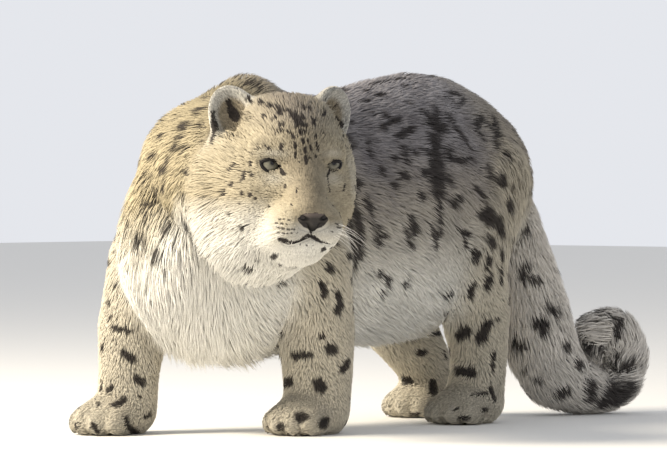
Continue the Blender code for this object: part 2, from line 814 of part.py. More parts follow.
def body_cuts():
    """The thin cuts that part the body into its named pieces."""
    made = [
        slab("cut_chest", (0, -0.050, 0.35), (0, 1, 0), (1, 0, 0), (0.7, 0.8)),
        slab("cut_loin", (0, 0.165, 0.35), (0, 1, 0), (1, 0, 0), (0.7, 0.8)),
        slab("cut_neck", (0.112, -0.345, 0.430), (0.80, -0.40, 0.45), (0, 1, 0), (0.50, 0.50)),
        slab("cut_head", head_point(-0.112, 0, 0), head_way(1, 0, 0.10), (0, 0, 1), (0.42, 0.34)),
        slab("cut_left_shoulder", (0.100, -0.300, 0.270), (0.94, 0, -0.34), (0, 1, 0), (0.501, 0.46)),
        slab("cut_right_shoulder", (-0.100, -0.300, 0.270), (-0.94, 0, -0.34), (0, 1, 0), (0.501, 0.46)),
        slab("cut_left_hip", (0.085, 0.4145, 0.320), (0.94, 0, -0.34), (0, 1, 0), (0.50, 0.50)),
        slab("cut_right_hip", (-0.085, 0.4145, 0.320), (-0.94, 0, -0.34), (0, 1, 0), (0.50, 0.50)),
        height_slab("cut_left_forepaw", LEFT_FORELEG, 0.058, (0.20, 0.34)),
        height_slab("cut_right_forepaw", RIGHT_FORELEG, 0.058, (0.20, 0.34)),
        height_slab("cut_left_hindpaw", LEFT_HINDLEG, 0.058, (0.16, 0.28)),
        height_slab("cut_right_hindpaw", RIGHT_HINDLEG, 0.058, (0.16, 0.30)),
        slab("cut_tail_root", (0, 0.478, 0.400), (0, 0.65, -0.76), (1, 0, 0), (0.22, 0.26)),
    ]
    for index, part in ((3, 0.0), (5, 0.3), (7, 0.6), (9, 0.6)):
        made.append(limb_slab(f"cut_tail_{index}", TAIL, index, part, TAIL_CUT[index]))
    return made


def floor_block():
    def build(shape):
        bmesh.ops.create_cube(shape, size=1)
        bmesh.ops.scale(shape, vec=(3, 3, FLOOR_DEPTH), verts=shape.verts)
        bmesh.ops.translate(shape, vec=(0, 0, -FLOOR_DEPTH / 2), verts=shape.verts)

    return link("floor_block", mesh_from("floor_block", build))


def sided(place, side):
    return (place[0], side * place[1], place[2])


def face_cuts():
    """Eye sockets, the seat of the nose pad, and the line of the mouth."""
    made = []
    grown = EYE_RADIUS + GAP
    for side in (1, -1):
        socket = ball(f"socket_{side}", sided(EYE_PLACE, side), (grown,) * 3, 3)
        made.append(socket)
    seat = ball("nose_seat", NOSE_PLACE, [half + GAP for half in NOSE_HALF], 2)
    made.append(seat)
    made.append(tube("mouth_cut", mouth_line(), MOUTH_DEPTH, 5))
    made.append(tube("lip_cut", [(0.052, 0, -0.098), (0.050, 0, -0.104), (0.046, 0, -0.112)], 0.0022, 5))
    for thing in made:
        thing.data.transform(head_matrix())
    return made


def make_eyes():
    for side, name in ((1, "left_eye"), (-1, "right_eye")):
        eye = ball(name, sided(EYE_PLACE, side), (EYE_RADIUS,) * 3, 3)
        eye.data.transform(head_matrix())
        finish(eye, "eye", 0.1)


def make_nose():
    nose = ball("nose_pad", NOSE_PLACE, NOSE_HALF, 2)
    holes = [ball(f"nostril_{side}", sided(NOSTRIL_PLACE, side), NOSTRIL_HALF, 2) for side in (1, -1)]
    cut_all(nose, holes)
    nose.data.transform(head_matrix())
    finish(nose, "nose", 0.4)


SEEDS = {  # a point inside each piece of the body, by which its name is found
    "neck": (0.170, -0.370, 0.430),
    "chest": (0.0, -0.230, 0.380),
    "ribs": (0.0, 0.060, 0.370),
    "hips": (0.0, 0.300, 0.430),
    "left_foreleg": (0.120, -0.160, 0.230),
    "right_foreleg": (-0.130, -0.310, 0.230),
    "left_forepaw": (0.116, -0.160, 0.030),
    "right_forepaw": (-0.132, -0.370, 0.030),
    "left_hindleg": (0.110, 0.290, 0.230),
    "right_hindleg": (-0.110, 0.300, 0.230),
    "left_hindpaw": (0.102, 0.280, 0.030),
    "right_hindpaw": (-0.102, 0.400, 0.030),
    "tail_root": TAIL[2][:3],
    "tail_middle": TAIL[4][:3],
    "tail_bend": TAIL[6][:3],
    "tail_end": TAIL[8][:3],
    "tail_tip": TAIL[11][:3],
}


def body_seeds():
    seeds = {name: Vector(place) for name, place in SEEDS.items()}
    seeds["head"] = head_point(-0.05, 0, -0.02)
    return seeds


def islands(shape):
    """Groups of faces that hang together."""
    left = set(shape.faces)
    groups = []
    while left:
        start = left.pop()
        group = [start]
        heap = [start]
        while heap:
            for edge in heap.pop().edges:
                for face in edge.link_faces:
                    if face in left:
                        left.remove(face)
                        group.append(face)
                        heap.append(face)
        groups.append(group)
    return groups


def group_volume(faces):
    total = 0.0
    middle = Vector()
    for face in faces:
        corners = [vert.co for vert in face.verts]
        for i in range(1, len(corners) - 1):
            part = corners[0].dot(corners[i].cross(corners[i + 1])) / 6
            total += part
            middle += part * (corners[0] + corners[i] + corners[i + 1]) / 4
    return total, middle / total if total else middle


def flats_of(vert):
    """The flat faces left by cuts that a vertex lies on."""
    found = set()
    for index, (middle, normal) in enumerate(FLAT_FACES):
        height = (vert.co - middle).dot(normal)
        if abs(abs(height) - GAP / 2) < ON_FLAT:
            found.add((index, height > 0))
    return found


def keeps_its_faces(gone, kept):
    """Whether closing an edge leaves the mesh closed, with no face turned over."""
    near = {edge.other_vert(gone) for edge in gone.link_edges}
    shared = near & {edge.other_vert(kept) for edge in kept.link_edges}
    fewest = min(len(vert.link_edges) for vert in (gone, kept, *shared))
    if len(shared) != 2 or fewest < 4:
        return False
    for face in gone.link_faces:
        if kept in face.verts:
            continue
        corners = [kept.co if vert is gone else vert.co for vert in face.verts]
        turned = (corners[1] - corners[0]).cross(corners[2] - corners[0])
        if turned.length < SMALLEST_FACE or turned.normalized().dot(face.normal) < STILL_FACING:
            return False
    return True


def in_triangles(shape):
    """The shape in triangles, by the first way that lets no two of its faces share an edge twice."""
    passed_by = [vert for vert in shape.verts if len(vert.link_edges) == 2]
    bmesh.ops.dissolve_verts(shape, verts=passed_by)
    for way in ("BEAUTY", "EAR_CLIP"):
        tried = shape.copy()
        bmesh.ops.triangulate(tried, faces=tried.faces, ngon_method=way)
        if all(edge.is_manifold for edge in tried.edges):
            return tried
    return tried


def close_short_edges(shape, limit):
    """Draw the ends of very short edges together, which unions leave many of."""
    for _ in range(CLOSING_ROUNDS):
        shape.normal_update()
        shape.verts.index_update()
        shape.edges.index_update()
        flats = [flats_of(vert) for vert in shape.verts]
        touched = set()
        pairs = {}
        short = sorted((edge.calc_length(), edge.index, edge) for edge in shape.edges)
        for length, _, edge in short:
            if length > limit:
                break
            for gone, kept in (tuple(edge.verts), tuple(edge.verts)[::-1]):
                edges = (*gone.link_edges, *kept.link_edges)
                around = {vert for near in edges for vert in near.verts}
                if around & touched or not flats[gone.index] <= flats[kept.index]:
                    continue
                if keeps_its_faces(gone, kept):
                    pairs[gone] = kept
                    touched |= around
                    break
        if not pairs:
            return
        bmesh.ops.weld_verts(shape, targetmap=pairs)


FINE_PIECES = ("head", "left_ear", "right_ear")


def part_body(whole, seeds):
    """Give each piece between the cuts its name, by the seed nearest its middle."""
    shape = bmesh.new()
    shape.from_mesh(whole.data)
    found = {}
    for faces in islands(shape):
        volume, middle = group_volume(faces)
        name = min(seeds, key=lambda key: (seeds[key] - middle).length)
        if volume > found.get(name, (0, None))[0]:
            found[name] = (volume, faces)
    for name, (volume, faces) in found.items():
        piece = bmesh.new()
        twin = {}
        for face in faces:
            for vert in face.verts:
                if vert not in twin:
                    twin[vert] = piece.verts.new(vert.co)
            piece.faces.new([twin[vert] for vert in face.verts])
        piece = in_triangles(piece)
        close_short_edges(piece, SHORT_ON_FACE if name in FINE_PIECES else SHORT_EDGE)
        mesh = bpy.data.meshes.new(name)
        piece.to_mesh(mesh)
        piece.free()
        colour = "pale" if name in ("chest", "neck") else "fur"
        finish(link(name, mesh), colour, 0.85)
    shape.free()
    bpy.data.objects.remove(whole, do_unlink=True)
    missing = sorted(set(seeds) - set(found))
    print("pieces", len(found), "missing", missing)


def finish(thing, colour, roughness):
    mesh = thing.data
    mesh.transform(Matrix.Translation((SHIFT[0], SHIFT[1], 0)))
    mesh.materials.clear()
    mesh.materials.append(material(colour, roughness))
    mesh.shade_smooth()
    mesh.set_sharp_from_angle(angle=math.radians(50))


def main():
    clear_scene()
    draw = np.random.default_rng(SEED)
    whole = make_body()
    head = make_head()
    locks = make_locks("cheek", head, head_field, cheek_part, cheek_way, draw)
    for thing in [head] + locks:
        thing.data.transform(head_matrix())
    make_ears([head, whole])
    locks += make_locks("breast", whole, body_field, breast_part, breast_way, draw)
    locks += make_locks("belly", whole, body_field, belly_part, belly_way, draw)
    locks += make_locks("elbow", whole, body_field, elbow_part, elbow_way, draw)
    locks += make_locks("tail", whole, body_field, tail_part, tail_way, draw)
    join_all(whole, [head, make_lip()] + make_paws() + make_lids() + locks)
    cut_all(whole, body_cuts() + face_cuts() + [floor_block()])
    part_body(whole, body_seeds())
    make_eyes()
    make_nose()


main()
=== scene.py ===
# %% [markdown]
# # A snow leopard in its winter coat
# The real animal is a soft body under a very thick coat, so the model is made in the same order:
# a skin on which hair can grow, then the hair itself, then the wet and bare places of the face.
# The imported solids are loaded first, because every piece has to stay within their box.

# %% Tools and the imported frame
import math

import bmesh
import bpy
import numpy as np
from mathutils import Matrix, Vector
from mathutils.bvhtree import BVHTree
from mathutils.kdtree import KDTree


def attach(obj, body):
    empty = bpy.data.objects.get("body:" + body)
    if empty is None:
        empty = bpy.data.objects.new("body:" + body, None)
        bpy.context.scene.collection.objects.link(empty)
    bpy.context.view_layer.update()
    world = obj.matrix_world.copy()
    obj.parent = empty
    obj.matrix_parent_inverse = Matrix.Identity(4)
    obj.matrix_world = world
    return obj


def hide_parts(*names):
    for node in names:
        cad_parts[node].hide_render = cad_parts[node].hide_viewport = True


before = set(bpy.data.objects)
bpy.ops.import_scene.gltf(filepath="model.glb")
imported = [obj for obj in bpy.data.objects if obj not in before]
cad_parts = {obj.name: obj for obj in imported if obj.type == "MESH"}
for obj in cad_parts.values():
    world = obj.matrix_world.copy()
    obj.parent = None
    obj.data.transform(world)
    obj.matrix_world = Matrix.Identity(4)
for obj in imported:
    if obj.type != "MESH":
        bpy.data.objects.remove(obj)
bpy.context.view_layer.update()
scene = bpy.context.scene

# %% [markdown]
# ## Camera
# The picture was taken with a long lens from the height of the animal's back, so there is almost no
# perspective. Sizes below are measured in a frame whose floor point lies between the forelegs and the
# hind legs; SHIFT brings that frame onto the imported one.

# %% Camera
SHIFT = np.array([-0.1108, -0.1411, 0.0])
PICTURE = (667, 460)
FOCAL_PIXELS = 4600
VIEW_TURN = math.radians(42)      # the camera looks this far round from +Y towards -X
VIEW_HEIGHT = 0.45
VIEW_FAR = 8.0
VIEW_ASIDE = -0.0235
HORIZON = 169                     # the row of the picture at the camera's own height

view_right = np.array([math.cos(VIEW_TURN), math.sin(VIEW_TURN), 0.0])
view_ahead = np.array([-math.sin(VIEW_TURN), math.cos(VIEW_TURN), 0.0])
view_from = -view_ahead * VIEW_FAR - view_right * VIEW_ASIDE + np.array([0, 0, VIEW_HEIGHT])


def set_camera():
    lens = bpy.data.cameras.new("camera")
    lens.sensor_width = 36
    lens.lens = 36 * FOCAL_PIXELS / PICTURE[0]
    lens.clip_end = 100
    camera = bpy.data.objects.new("camera", lens)
    scene.collection.objects.link(camera)
    camera.location = Vector(view_from + SHIFT)
    pitch = math.atan((PICTURE[1] / 2 - HORIZON) / FOCAL_PIXELS)
    camera.rotation_euler = (math.radians(90) - pitch, 0, VIEW_TURN)
    scene.camera = camera
    print("lens:", round(lens.lens, 1), "mm, pitch:", round(math.degrees(pitch), 2), "degrees")


def ray_through(u, v):
    """The way from the camera through a point of the picture."""
    way = view_ahead * FOCAL_PIXELS + view_right * (u - PICTURE[0] / 2)
    way = way + np.array([0, 0, HORIZON - v])
    return Vector(way).normalized()


set_camera()

# %% [markdown]
# ## Floor and light
# Low winter sun comes from the picture's left and warms the breast and half of the face. The flank
# lies in a cool shade that the pale ground fills. A large warm lamp and a cool, even sky do the same.

# %% Floor and light
FLOOR_SIZE = 30.0
SUN_WAY = -0.86 * view_right - 0.34 * view_ahead + np.array([0, 0, 0.62])
SUN_FAR = 5.0
SUN_SIZE = 1.6
SUN_WATTS = 425
SKY = (0.93, 0.95, 1.0)
SKY_STRENGTH = 0.71
SKY_SEEN = 0.84                   # the backdrop as the camera sees it, a little brighter than its light


def make_floor():
    mesh = bpy.data.meshes.new("floor")
    half = FLOOR_SIZE / 2
    corners = [(-half, -half, 0), (half, -half, 0), (half, half, 0), (-half, half, 0)]
    mesh.from_pydata(corners, [], [(0, 1, 2, 3)])
    floor = bpy.data.objects.new("floor", mesh)
    scene.collection.objects.link(floor)
    paint = bpy.data.materials.new("floor")
    paint.use_nodes = True
    shader = paint.node_tree.nodes["Principled BSDF"]
    shader.inputs["Base Color"].default_value = (0.82, 0.81, 0.78, 1)
    shader.inputs["Roughness"].default_value = 0.9
    mesh.materials.append(paint)


def make_lights():
    lamp = bpy.data.lights.new("sun", "AREA")
    lamp.energy = SUN_WATTS
    lamp.size = SUN_SIZE
    lamp.color = (1.0, 0.90, 0.74)
    sun = bpy.data.objects.new("sun", lamp)
    scene.collection.objects.link(sun)
    way = Vector(SUN_WAY).normalized()
    sun.location = way * SUN_FAR + Vector((0, 0, 0.3))
    sun.rotation_euler = way.to_track_quat("Z", "Y").to_euler()
    world = bpy.data.worlds.new("sky")
    world.use_nodes = True
    nodes, links = world.node_tree.nodes, world.node_tree.links
    sky = nodes["Background"]
    sky.inputs["Color"].default_value = (*SKY, 1)
    brighter = nodes.new("ShaderNodeMapRange")
    brighter.inputs["To Min"].default_value = SKY_STRENGTH
    brighter.inputs["To Max"].default_value = SKY_SEEN
    links.new(nodes.new("ShaderNodeLightPath").outputs["Is Camera Ray"], brighter.inputs["Value"])
    links.new(brighter.outputs["Result"], sky.inputs["Strength"])
    scene.world = world
    scene.view_settings.view_transform = "Standard"


make_floor()
make_lights()

# %% [markdown]
# ## Sizes of the animal
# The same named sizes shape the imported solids. All of them measure the outside of the coat: rings of
# the trunk, and lines through the neck, legs and tail with a radius at each point.

# %% Sizes of the body
TRUNK = np.array([  # place along the body, top, underside and half width
    (-0.390, 0.480, 0.190, 0.100),
    (-0.335, 0.532, 0.140, 0.138),
    (-0.265, 0.586, 0.122, 0.156),
    (-0.190, 0.618, 0.125, 0.162),
    (-0.105, 0.584, 0.135, 0.160),
    (0.000, 0.578, 0.138, 0.165),
    (0.110, 0.606, 0.140, 0.170),
    (0.220, 0.623, 0.150, 0.164),
    (0.310, 0.618, 0.185, 0.150),
    (0.390, 0.592, 0.250, 0.130),
    (0.447, 0.560, 0.300, 0.104),
])
TRUNK_CAPS = (0.060, 0.055)
TRUNK_POWERS = (1.75, 2.3)        # the section's exponent above and below its middle
LIMBS = {
    "neck": [(0.020, -0.290, 0.445, 0.122), (0.105, -0.335, 0.440, 0.124), (0.195, -0.362, 0.430, 0.110)],
    "right_foreleg": [
        (-0.090, -0.270, 0.400, 0.070),
        (-0.122, -0.300, 0.290, 0.070),
        (-0.132, -0.330, 0.180, 0.060),
        (-0.130, -0.342, 0.100, 0.052),
        (-0.130, -0.345, 0.045, 0.050),
    ],
    "left_foreleg": [
        (0.090, -0.220, 0.400, 0.070),
        (0.120, -0.160, 0.290, 0.072),
        (0.120, -0.140, 0.180, 0.065),
        (0.116, -0.134, 0.100, 0.060),
        (0.116, -0.134, 0.045, 0.055),
    ],
    "left_hindleg": [
        (0.066, 0.340, 0.430, 0.098),
        (0.095, 0.265, 0.300, 0.086),
        (0.104, 0.295, 0.200, 0.062),
        (0.102, 0.308, 0.120, 0.051),
        (0.100, 0.300, 0.045, 0.050),
    ],
    "right_hindleg": [
        (-0.066, 0.340, 0.430, 0.098),
        (-0.100, 0.275, 0.280, 0.088),
        (-0.102, 0.325, 0.170, 0.066),
        (-0.100, 0.395, 0.095, 0.050),
        (-0.100, 0.412, 0.045, 0.048),
    ],
    "tail": [
        (0.000, 0.430, 0.470, 0.062),
        (0.004, 0.482, 0.380, 0.064),
        (0.014, 0.520, 0.290, 0.065),
        (0.026, 0.548, 0.200, 0.068),
        (0.032, 0.564, 0.130, 0.070),
        (0.042, 0.590, 0.078, 0.066),
        (0.058, 0.636, 0.052, 0.055),
        (0.071, 0.674, 0.042, 0.045),
        (0.090, 0.716, 0.054, 0.045),
        (0.098, 0.730, 0.100, 0.047),
        (0.090, 0.712, 0.145, 0.049),
        (0.076, 0.680, 0.150, 0.045),
        (0.068, 0.662, 0.118, 0.034),
    ],
}
PAWS = {  # middle on the floor, and heading from -Y towards +X in degrees
    "right_forepaw": (-0.132, -0.378, 6),
    "left_forepaw": (0.118, -0.166, 8),
    "left_hindpaw": (0.102, 0.272, 4),
    "right_hindpaw": (-0.102, 0.392, -4),
}
PAW_HALF = (0.055, 0.068, 0.036)
TOE_HALF = (0.0175, 0.030, 0.024)
TOE_ROW = [(-0.040, -0.034), (-0.0145, -0.052), (0.0145, -0.052), (0.040, -0.034)]

# %% Sizes of the head
# Its own frame runs forward, left and up from the point midway between the eyes.
EYES_AT = np.array([0.355, -0.434, 0.4565])
FACE_TURN = math.radians(61)
HEAD_AXES = np.array([
    (math.sin(FACE_TURN), -math.cos(FACE_TURN), 0),
    (math.cos(FACE_TURN), math.sin(FACE_TURN), 0),
    (0, 0, 1),
])
HEAD_MASSES = [
    ((-0.085, 0.000, 0.030), (0.085, 0.086, 0.080)),
    ((-0.040, 0.000, 0.032), (0.052, 0.064, 0.050)),
    ((-0.045, 0.000, -0.030), (0.056, 0.068, 0.068)),
    ((-0.070, 0.054, -0.045), (0.060, 0.050, 0.066)),
    ((-0.070, -0.054, -0.045), (0.060, 0.050, 0.066)),
    ((-0.082, 0.066, -0.012), (0.040, 0.042, 0.056)),
    ((-0.082, -0.066, -0.012), (0.040, 0.042, 0.056)),
    ((-0.070, 0.000, -0.090), (0.070, 0.066, 0.056)),
    ((0.010, 0.026, -0.098), (0.036, 0.029, 0.029)),
    ((0.010, -0.026, -0.098), (0.036, 0.029, 0.029)),
    ((-0.006, 0.000, -0.126), (0.037, 0.034, 0.029)),
    ((-0.020, 0.026, -0.112), (0.040, 0.026, 0.024)),
    ((-0.020, -0.026, -0.112), (0.040, 0.026, 0.024)),
    ((-0.118, -0.012, -0.035), (0.078, 0.122, 0.104)),
]
THROAT = ((-0.112, -0.042, -0.118), (0.060, 0.072, 0.066))
BRIDGE = [(-0.012, 0.0, 0.010, 0.026), (0.014, 0.0, -0.040, 0.024), (0.030, 0.0, -0.074, 0.024)]
BROWS = [(-0.008, 0.032, 0.019, 0.012), (-0.022, 0.062, 0.024, 0.014)]
EYE_RADIUS = 0.0165
EYE_PLACE = (-0.0155, 0.0525, 0.0)
SOCKET_PLACE = (0.012, 0.0530, -0.001)
SOCKET_HALF = (0.015, 0.019, 0.013)
NOSE_PLACE = (0.046, 0.0, -0.084)
NOSE_HALF = (0.016, 0.029, 0.017)
MOUTH = [(0.041, -0.125), (0.030, -0.121), (0.018, -0.118), (0.008, -0.1155), (0.0, -0.113)]
EAR_PLACE = (-0.105, 0.083, 0.079)
EAR_HALF = (0.021, 0.040, 0.053)
EAR_CUP_HALF = (0.020, 0.029, 0.043)
EAR_CUP_AHEAD = 0.015
EAR_LEAN = math.radians(22)
EAR_OPEN = math.radians(24)


def to_head(points):
    return (points - EYES_AT) @ HEAD_AXES.T


def from_head(points):
    return np.asarray(points) @ HEAD_AXES + EYES_AT


def ear_frame(side):
    """Places one ear in the head: its thickness forward, its width left and its height up."""
    place = Matrix.Translation((EAR_PLACE[0], side * EAR_PLACE[1], EAR_PLACE[2]))
    look = Matrix.Rotation(side * EAR_OPEN, 4, "Z")
    lean = Matrix.Rotation(-side * EAR_LEAN, 4, "X")
    return place @ look @ lean


# %% [markdown]
# ## Distances
# Each mass of the body is written as a distance: below zero inside it, above zero outside. Distances
# can be joined softly, moved inwards by the depth of the coat, and followed by hair, which no mesh can.

# %% Distance helpers
def round_distance(points, middle, half):
    inside = (points - np.array(middle)) / np.array(half)
    size = np.linalg.norm(inside, axis=1)
    slope = np.linalg.norm(inside / np.array(half), axis=1)
    return size * (size - 1) / np.maximum(slope, 1e-9)


def line_distance(points, line):
    near = np.full(len(points), 9.0)
    for a, b in zip(line, line[1:]):
        start = np.array(a[:3])
        way = np.array(b[:3]) - start
        along = np.clip((points - start) @ way / (way @ way), 0, 1)
        radius = a[3] + along * (b[3] - a[3])
        near = np.minimum(near, np.linalg.norm(points - start - along[:, None] * way, axis=1) - radius)
    return near


def trunk_distance(points):
    y = np.clip(points[:, 1], TRUNK[0, 0], TRUNK[-1, 0])
    top, low, half = (np.interp(y, TRUNK[:, 0], TRUNK[:, i]) for i in (1, 2, 3))
    middle, height = (top + low) / 2, (top - low) / 2
    cap = np.where(points[:, 1] < 0, *TRUNK_CAPS)
    past = (points[:, 1] - y) / cap
    across, up = np.abs(points[:, 0]) / half, np.abs(points[:, 2] - middle) / height
    power = np.where(points[:, 2] > middle, *TRUNK_POWERS)
    ring = np.maximum((across ** power + up ** power) ** (1 / power), 0.05)
    size = np.sqrt(ring ** 2 + past ** 2)
    slope = (across / ring) ** (2 * power - 2) / half ** 2 + (up / ring) ** (2 * power - 2) / height ** 2
    slope = np.sqrt((ring / size) ** 2 * slope + (past / size / cap) ** 2)
    return (size - 1) / np.maximum(slope, 3.0)


def joined(distances, soft):
    """The smooth union of some distances."""
    stack = np.array(distances)
    least = stack.min(axis=0)
    return least - soft * np.log(np.exp(-(stack - least) / soft).sum(axis=0))


def cut(solid, hollow, soft):
    return -joined([-solid, hollow], soft)


# %% Distances to the head, ears and paws
def skull_distance(local):
    masses = [round_distance(local, middle, half) for middle, half in HEAD_MASSES]
    masses.append(line_distance(local, BRIDGE))
    for side in (1, -1):
        masses.append(line_distance(local, [(f, side * l, u, r) for f, l, u, r in BROWS]))
    solid = joined(masses, 0.006)
    for side in (1, -1):
        place = (SOCKET_PLACE[0], side * SOCKET_PLACE[1], SOCKET_PLACE[2])
        solid = cut(solid, round_distance(local, place, SOCKET_HALF), 0.006)
    return solid


def ear_space(local, side):
    """Places in one ear's own frame: out of its cup, across it and up it."""
    turned = np.array(ear_frame(side).inverted())
    return local @ turned[:3, :3].T + turned[:3, 3]


def ear_distance(local, side):
    return round_distance(ear_space(local, side), (0, 0, 0), EAR_HALF)


def cup_distance(local, side):
    return round_distance(ear_space(local, side), (EAR_CUP_AHEAD, 0, 0.002), EAR_CUP_HALF)


def paw_distance(points, x, y, heading):
    turn = math.radians(heading)
    away = points - np.array([x, y, 0])
    across = away[:, 0] * math.cos(turn) + away[:, 1] * math.sin(turn)
    ahead = -away[:, 0] * math.sin(turn) + away[:, 1] * math.cos(turn)
    local = np.stack([across, ahead, away[:, 2]], axis=1)
    masses = [round_distance(local, (0, 0, PAW_HALF[2] - 0.005), PAW_HALF)]
    for side, front in TOE_ROW:
        masses.append(round_distance(local, (side, front, TOE_HALF[2] - 0.004), TOE_HALF))
    return joined(masses, 0.004)


PARTS = ["trunk", *LIMBS, "head", "left_ear", "right_ear", *PAWS]


def part_distances(points):
    """The distance from each part of the body, over its coat, in the order of PARTS."""
    local = to_head(points)
    rows = [trunk_distance(points)]
    rows += [line_distance(points, line) for line in LIMBS.values()]
    rows += [skull_distance(local), ear_distance(local, 1), ear_distance(local, -1)]
    rows += [paw_distance(points, *place) for place in PAWS.values()]
    return np.array(rows)


# %% [markdown]
# ## How long the hair is
# A snow leopard's hair is a few millimetres on the nose, about 5 cm on the back and flank and up to
# 10 cm on belly and tail. The length at a place is a mix of the parts near it, so nothing jumps.

# %% Length of the hair
LENGTHS = {
    "trunk": 0.042, "neck": 0.044, "right_foreleg": 0.024, "left_foreleg": 0.024, "left_hindleg": 0.030,
    "right_hindleg": 0.030, "tail": 0.052, "head": 0.0, "left_ear": 0.006, "right_ear": 0.006,
    "right_forepaw": 0.010, "left_forepaw": 0.010, "left_hindpaw": 0.010, "right_hindpaw": 0.010,
}
EAR_HAIR = 0.006
BELLY_LENGTH = 0.080
BREAST_LENGTH = 0.076
COLLAR_SOFT = 0.034               # how softly the head runs into the neck
COAT_SHARE = 0.42                 # how deep the coat lies, as a share of the hair's length
NEAR, NEAR_NECK = 0.012, 0.020     # how far a part reaches into its neighbours
NOSE_TIP = np.array([0.060, 0.0, -0.080])
HEAD_STEPS = [0.0, 0.030, 0.070, 0.110, 0.150, 0.190]
HEAD_LENGTHS = [0.003, 0.0042, 0.0065, 0.0100, 0.018, 0.030]


def near_parts(distances):
    """How much each part counts at a place; the neck reaches furthest, over the cheeks."""
    soft = np.array([NEAR_NECK if name == "neck" else NEAR for name in PARTS])
    share = np.exp(-(distances - distances.min(axis=0)) / soft[:, None])
    return share / share.sum(axis=0)


def eye_space(local, side):
    """Forward, outward and up from the middle of one eye."""
    away = local - np.array([EYE_PLACE[0], side * EYE_PLACE[1], EYE_PLACE[2]])
    return away[:, 0], side * away[:, 1], away[:, 2]


def hair_length(points, shares):
    length = np.full(len(points), 0.0)
    local = to_head(points)
    on_head = np.interp(np.linalg.norm(local - NOSE_TIP, axis=1), HEAD_STEPS, HEAD_LENGTHS)
    cheek = np.clip((-local[:, 2] - 0.01) / 0.08, 0, 1) * np.clip((-local[:, 0] - 0.015) / 0.06, 0, 1)
    chin = np.clip((-local[:, 2] - 0.128) / 0.018, 0, 1)
    on_head = on_head + 0.016 * cheek + 0.009 * chin
    for side in (1, -1):
        far = np.linalg.norm(np.stack(eye_space(local, side)), axis=0)
        on_head = on_head * np.clip((far - 0.014) / 0.022, 0.40, 1)
    leg_down = np.interp(points[:, 2], [0.05, 0.12, 0.30, 0.45], [0.45, 0.62, 1.0, 1.35])
    low = np.clip((0.27 - points[:, 2]) / 0.11, 0, 1)
    front = np.clip((-0.30 - points[:, 1]) / 0.08, 0, 1) * np.clip((0.50 - points[:, 2]) / 0.10, 0, 1)
    for name, share in zip(PARTS, shares):
        own = np.full(len(points), LENGTHS[name])
        if name == "trunk":
            own = own + low * (BELLY_LENGTH - own)
            own = own + front * (BREAST_LENGTH - own)
        elif name.endswith("leg"):
            own = own * leg_down
        elif name == "head":
            own = on_head
        elif name == "neck":
            own = own + front * (BREAST_LENGTH - own) * 0.6
        length = length + share * own
    for side in (1, -1):
        length = np.minimum(length, EAR_HAIR + 0.9 * np.maximum(ear_distance(local, side), 0))
    return length


def under_coat(points):
    """The distance from the bare skin, before the eyes and mouth are opened in it."""
    rows = part_distances(points)
    throat = round_distance(to_head(points), *THROAT)
    collar = joined([rows[PARTS.index("neck")], rows[PARTS.index("head")], throat], COLLAR_SOFT)
    solid = joined([collar, *rows], 0.008)
    for side in (1, -1):
        solid = cut(solid, cup_distance(to_head(points), side), 0.0015)
    return solid + COAT_SHARE * hair_length(points, near_parts(rows))


# %% [markdown]
# ## The openings of the face
# The lids are a ball a little larger than the eye, with an almond opened in its front. The line of the
# mouth is a shallow groove, and its places are found where the face is.

# %% Lids and mouth in the skin
LID_RADIUS = 0.0183
LID_FLOOR = 0.0150                # the skin behind the eye's surface, where the lids are open
OPENINGS = {-1: (0.0156, 0.0094, 0.0110), 1: (0.0154, 0.0068, 0.0088)}  # half width, height above and below
CORNER_DROP = 0.0065
CORNER_LIFT = 0.0022
MOUTH_LINE = [(0.043, -0.1235), (0.036, -0.1262), (0.027, -0.1250), (0.016, -0.1205), (0.007, -0.1165), (0.0, -0.1140)]
MOUTH_GROOVE = 0.0016
PHILTRUM = [(0.0, -0.1140), (0.0, -0.1060)]


def face_ahead(across, up):
    """How far forward the face reaches at a place."""
    ahead = np.linspace(0.08, -0.10, 361)
    local = np.stack([ahead, np.full(361, across), np.full(361, up)], axis=1)
    return float(ahead[np.argmax(under_coat(from_head(local)) < 0)])


def almond(across, rise, side):
    """Below one inside the almond between the lids of one eye."""
    size = OPENINGS[side]
    inner = np.clip(-across / size[0], 0, 1.4)
    outer = np.clip(across / size[0], 0, 1.4)
    lifted = rise + CORNER_DROP * inner ** 2 - CORNER_LIFT * outer ** 2
    height = np.where(lifted > 0, size[1], size[2])
    return (np.abs(across / size[0]) ** 1.9 + np.abs(lifted / height) ** 1.9) ** (1 / 1.9)


mouth_half = [(l, u) for l, u in MOUTH_LINE]
mouth_whole = mouth_half + [(-l, u) for l, u in mouth_half[:-1][::-1]]
MOUTH_PATH = [(face_ahead(l, u), l, u, MOUTH_GROOVE) for l, u in mouth_whole]
PHILTRUM_PATH = [(face_ahead(l, u) + 0.0006, l, u, 0.0013) for l, u in PHILTRUM]
print("mouth:", [round(spot[0], 4) for spot in MOUTH_PATH])


def skin_distance(points):
    solid = under_coat(points)
    local = to_head(points)
    for side in (1, -1):
        ahead, across, rise = eye_space(local, side)
        far = np.sqrt(ahead ** 2 + across ** 2 + rise ** 2)
        solid = joined([solid, far - LID_RADIUS], 0.002)
        opening = (almond(across, rise, side) - 1) * OPENINGS[side][1]
        opening = np.maximum(np.maximum(opening, LID_FLOOR - far), -ahead)
        solid = cut(solid, opening, 0.0006)
    solid = cut(solid, line_distance(local, MOUTH_PATH), 0.0008)
    return cut(solid, line_distance(local, PHILTRUM_PATH), 0.0008)


# %% [markdown]
# ## Fields on a grid
# A distance is slow to work out for hundreds of thousands of hairs, so the skin's is measured once on
# two grids, a coarse one for the body and a fine one for the head, and read between their points.

